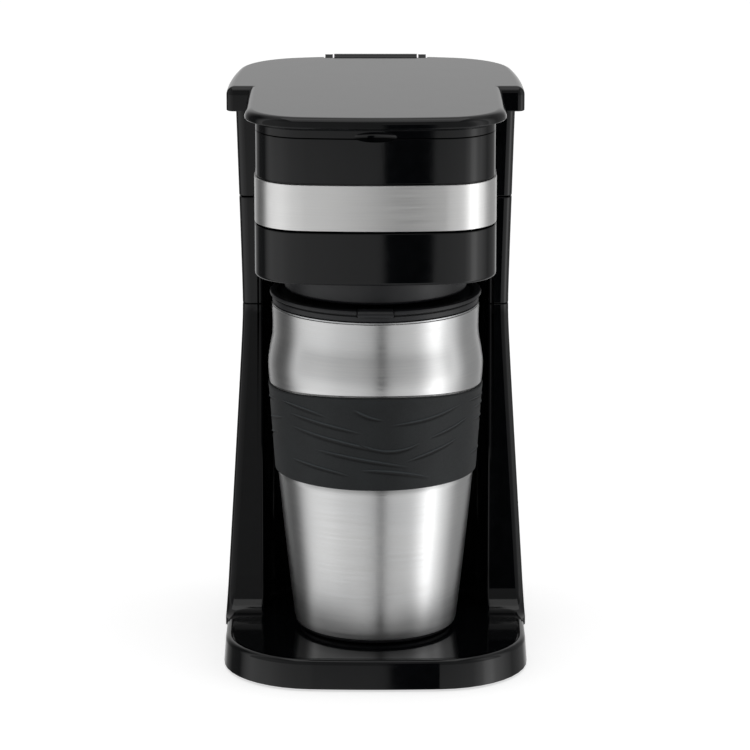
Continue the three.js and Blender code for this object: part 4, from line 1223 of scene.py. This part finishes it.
def gripSleeve():
    s = mugSize
    y0 = mugCentre()
    (r0, z0), (r1, z1) = s["sleeve"]
    rows, edge = 150, 0.4
    outer = [(r0 - edge, z0), (r0 - 0.1, z0 + 0.1)]
    for i in range(rows + 1):
        outer.append((r0 + (r1 - r0) * i / rows, z0 + edge + (z1 - z0 - 2 * edge) * i / rows))
    outer += [(r1 - 0.1, z1 - 0.1), (r1 - edge, z1)]
    thick = s["sleeveThickness"]
    profile = [*outer, (r1 - thick, z1), (r0 - thick, z0), outer[0]]
    piece = lathe("gripSleeve", profile, 480, 0, y0)
    copies = 3
    turn = 360 / copies
    creases = [0.0] * len(piece.data.vertices)
    for vertex in piece.data.vertices:
        x, y, z = [c / mm for c in vertex.co]
        y -= y0
        radius = math.hypot(x, y)
        share = (z - z0) / (z1 - z0)
        if radius < r0 + (r1 - r0) * share - 0.3 or not 0.02 < share < 0.98:
            continue
        degrees = math.degrees(math.atan2(x, -y))
        crease = 0
        for centre, height, length, climb, bow, half in strokes:
            along = (degrees - centre + turn / 2) % turn - turn / 2
            t = 2 * along / length
            if abs(t) >= 1:
                continue
            middle = z0 + (z1 - z0) * height + climb * t / 2 + bow * (1 - t * t)
            off = (z - middle) / (half * (1 - t * t) ** 0.5 + 0.1)
            fade = 1 - t ** 4
            if abs(off) < 1:
                crease = max(crease, fade * (1 - abs(off)))
            elif 1 <= off < 2.4 and crease <= 0:
                # a low lip above the groove
                crease = min(crease, -fade * (1 - abs(off - 1.7) / 0.7))
        creases[vertex.index] = crease
        growth = 1 - s["engraving"] * crease / radius
        vertex.co.x = x * growth * mm
        vertex.co.y = (y0 + y * growth) * mm
    # the crease attribute also drives the painted groove shade and the painted ridge highlight of the grip
    # rubber
    layer = piece.data.attributes.new("crease", "FLOAT", "POINT")
    layer.data.foreach_set("value", creases)
    place(waveUp(piece), "grip_rubber", "mug", "mug_sleeve", weighted=False, angle=60)


# Profiles of the mug's lid: radius, and height above the mug's rim.
capSize = {
    "rim": 149.2,
    "outer": [
        (0, -2.2), (35, -2.2), (35, -8.2), (36.6, -8.2), (36.6, -6.2), (35.9, -6.2), (35.9, -3.2),
        (38.2, -3.2), (38.2, 0.5), (41.4, 0.5), (41.8, 0.9), (41.8, 2.6), (41.6, 2.9), (41, 2.9),
        (41, 3.7), (42.5, 3.7), (42.8, 4),
    ],
    "dish": [(39.2, 4.6), (38.6, 4.25), (0, 4.2)],
    "seal": [
        (36.2, -5.9), (37.6, -5.9), (38.4, -5.2), (37.7, -4.8), (38.4, -4.2), (37.6, -3.5),
        (36.2, -3.5), (36.2, -5.9),
    ],
    "hollow": 33.4,
    "drip": 6,
    "track": (7.5, 2.4),
}


def onRim(points):
    return [(radius, capSize["rim"] + z) for radius, z in points]


def mugCap():
    y = mugCentre()
    top = boxOf("mug_lid")[1].z
    s = capSize
    profile = onRim(s["outer"])
    profile += [(42.8, top - 0.5), (42.65, top - 0.15), (42.3, top), (40.2, top), (39.8, top - 0.2)]
    profile += onRim(s["dish"])
    piece = lathe("mugCap", profile, 160, 0, y)
    cut(piece, rod("z", s["hollow"], 130, s["rim"] + 1.2, 0, y, 128))
    cut(piece, rod("z", s["drip"], 130, 160, 0, y, 64))
    half, depth = s["track"]
    cut(piece, block((-half, y - 50, s["rim"] + depth), (half, y - 12, 160), 1.2, 2))
    cut(piece, block((-4, y - 33, 130), (4, y - 29, 160), 1.9, 2))
    place(piece, "matt_black", "mug_cap", "mug_lid")
    seal = lathe("mugSeal", onRim(s["seal"]), 128, 0, y)
    place(seal, "silicone", "mug_cap", "mug_lid_seal")
    place(softened("mug_lid_slider", 0.45), "matt_black", "cap_slider", "mug_lid_slider")


mugSteel()
gripSleeve()
mugCap()
print("mug made")


# Small outside pieces.


def bottomPieces():
    low, high = boxOf("bottom_plate")
    plan = inset(basePlan(0), 2.7 + lowerSize["draft"])
    plate = prism(plan, low.z, high.z, (0.3, 0.3))
    plate.name = "bottomPlate"
    for i in range(1, 5):
        footLow, footHigh = boxOf(f"foot_{i}")
        x, y = (footLow.x + footHigh.x) / 2, (footLow.y + footHigh.y) / 2
        cut(plate, rod("z", 2.7, 0, 9, x, y))
        radius = (footHigh.x - footLow.x) / 2
        profile = [(0, 0), (radius - 0.8, 0), (radius - 0.2, 0.25), (radius, 0.8), (radius, low.z - 0.3)]
        profile += [(2.4, low.z - 0.3), (2.4, footHigh.z - 0.4), (2.0, footHigh.z), (0, footHigh.z)]
        place(lathe(f"rubberFoot{i}", profile, 64, x, y), "foot_rubber", "machine", f"foot_{i}")
        screwLow, screwHigh = boxOf(f"bottom_screw_{i}")
        x, y = (screwLow.x + screwHigh.x) / 2, (screwLow.y + screwHigh.y) / 2
        cut(plate, rod("z", 1.7, 0, 9, x, y), rod("z", 3.5, 0, low.z + 1, x, y))
        bottom = screwLow.z
        profile = [(0, bottom), (2.6, bottom), (3.1, bottom + 0.3), (3.2, bottom + 1.7), (1.4, bottom + 1.7)]
        profile += [(1.4, screwHigh.z - 1.2), (0, screwHigh.z)]
        screw = lathe(f"screw{i}", profile, 48, x, y)
        slots = join(
            block((x - 2, y - 0.4, 0), (x + 2, y + 0.4, bottom + 0.8)),
            block((x - 0.4, y - 2, 0), (x + 0.4, y + 2, bottom + 0.8)),
        )
        place(cut(screw, slots), "plain_steel", "machine", f"bottom_screw_{i}")
    for i in range(-2, 3):
        cut(plate, block((i * 9 - 1.5, 34, 0), (i * 9 + 1.5, 62, 9), 1.4, 2))
    place(plate, "matt_black", "machine", "bottom_plate")


def switchAndGland():
    place(softened("switch_body", 0.35), "matt_black", "machine", "switch_body")
    place(softened("switch_rocker", 0.4), "gloss_black", "switch", "switch_rocker")
    low, high = boxOf("cord_gland")
    x, z = (low.x + high.x) / 2, (low.z + high.z) / 2
    piece = bevel(rod("y", 6.6, high.y - 1.3, high.y, x, z), 0.4)
    piece.name = "cordGland"
    join(piece, rod("y", 4.5, low.y + 1, high.y - 0.6, x, z), rod("y", 6, low.y, low.y + 1.5, x, z))
    cut(piece, rod("y", 3.3, 0, 100, x, z))
    place(piece, "foot_rubber", "machine", "cord_gland")


bottomPieces()
switchAndGland()
print("small outside pieces made")


# Pieces inside the housing keep their shape, with broken edges.

inside = {
    "silicone": ["feed_tube_upper", "feed_tube_lower", "riser_tube"],
    "white_plastic": ["check_valve", "thermal_fuse"],
    "heater_aluminium": ["heater_tube", "heating_element"],
    "plain_steel": ["heater_bracket", "thermostat", *[f"tube_clamp_{i}" for i in range(1, 5)]],
    "matt_black": ["outlet_nozzle"],
    "wire_cover": ["wire_to_switch", "wire_to_thermostat"],
}
for slot, names in inside.items():
    for name in names:
        place(softened(name, 0.15, 50), slot, "machine", name, angle=50)
print("inner pieces made")
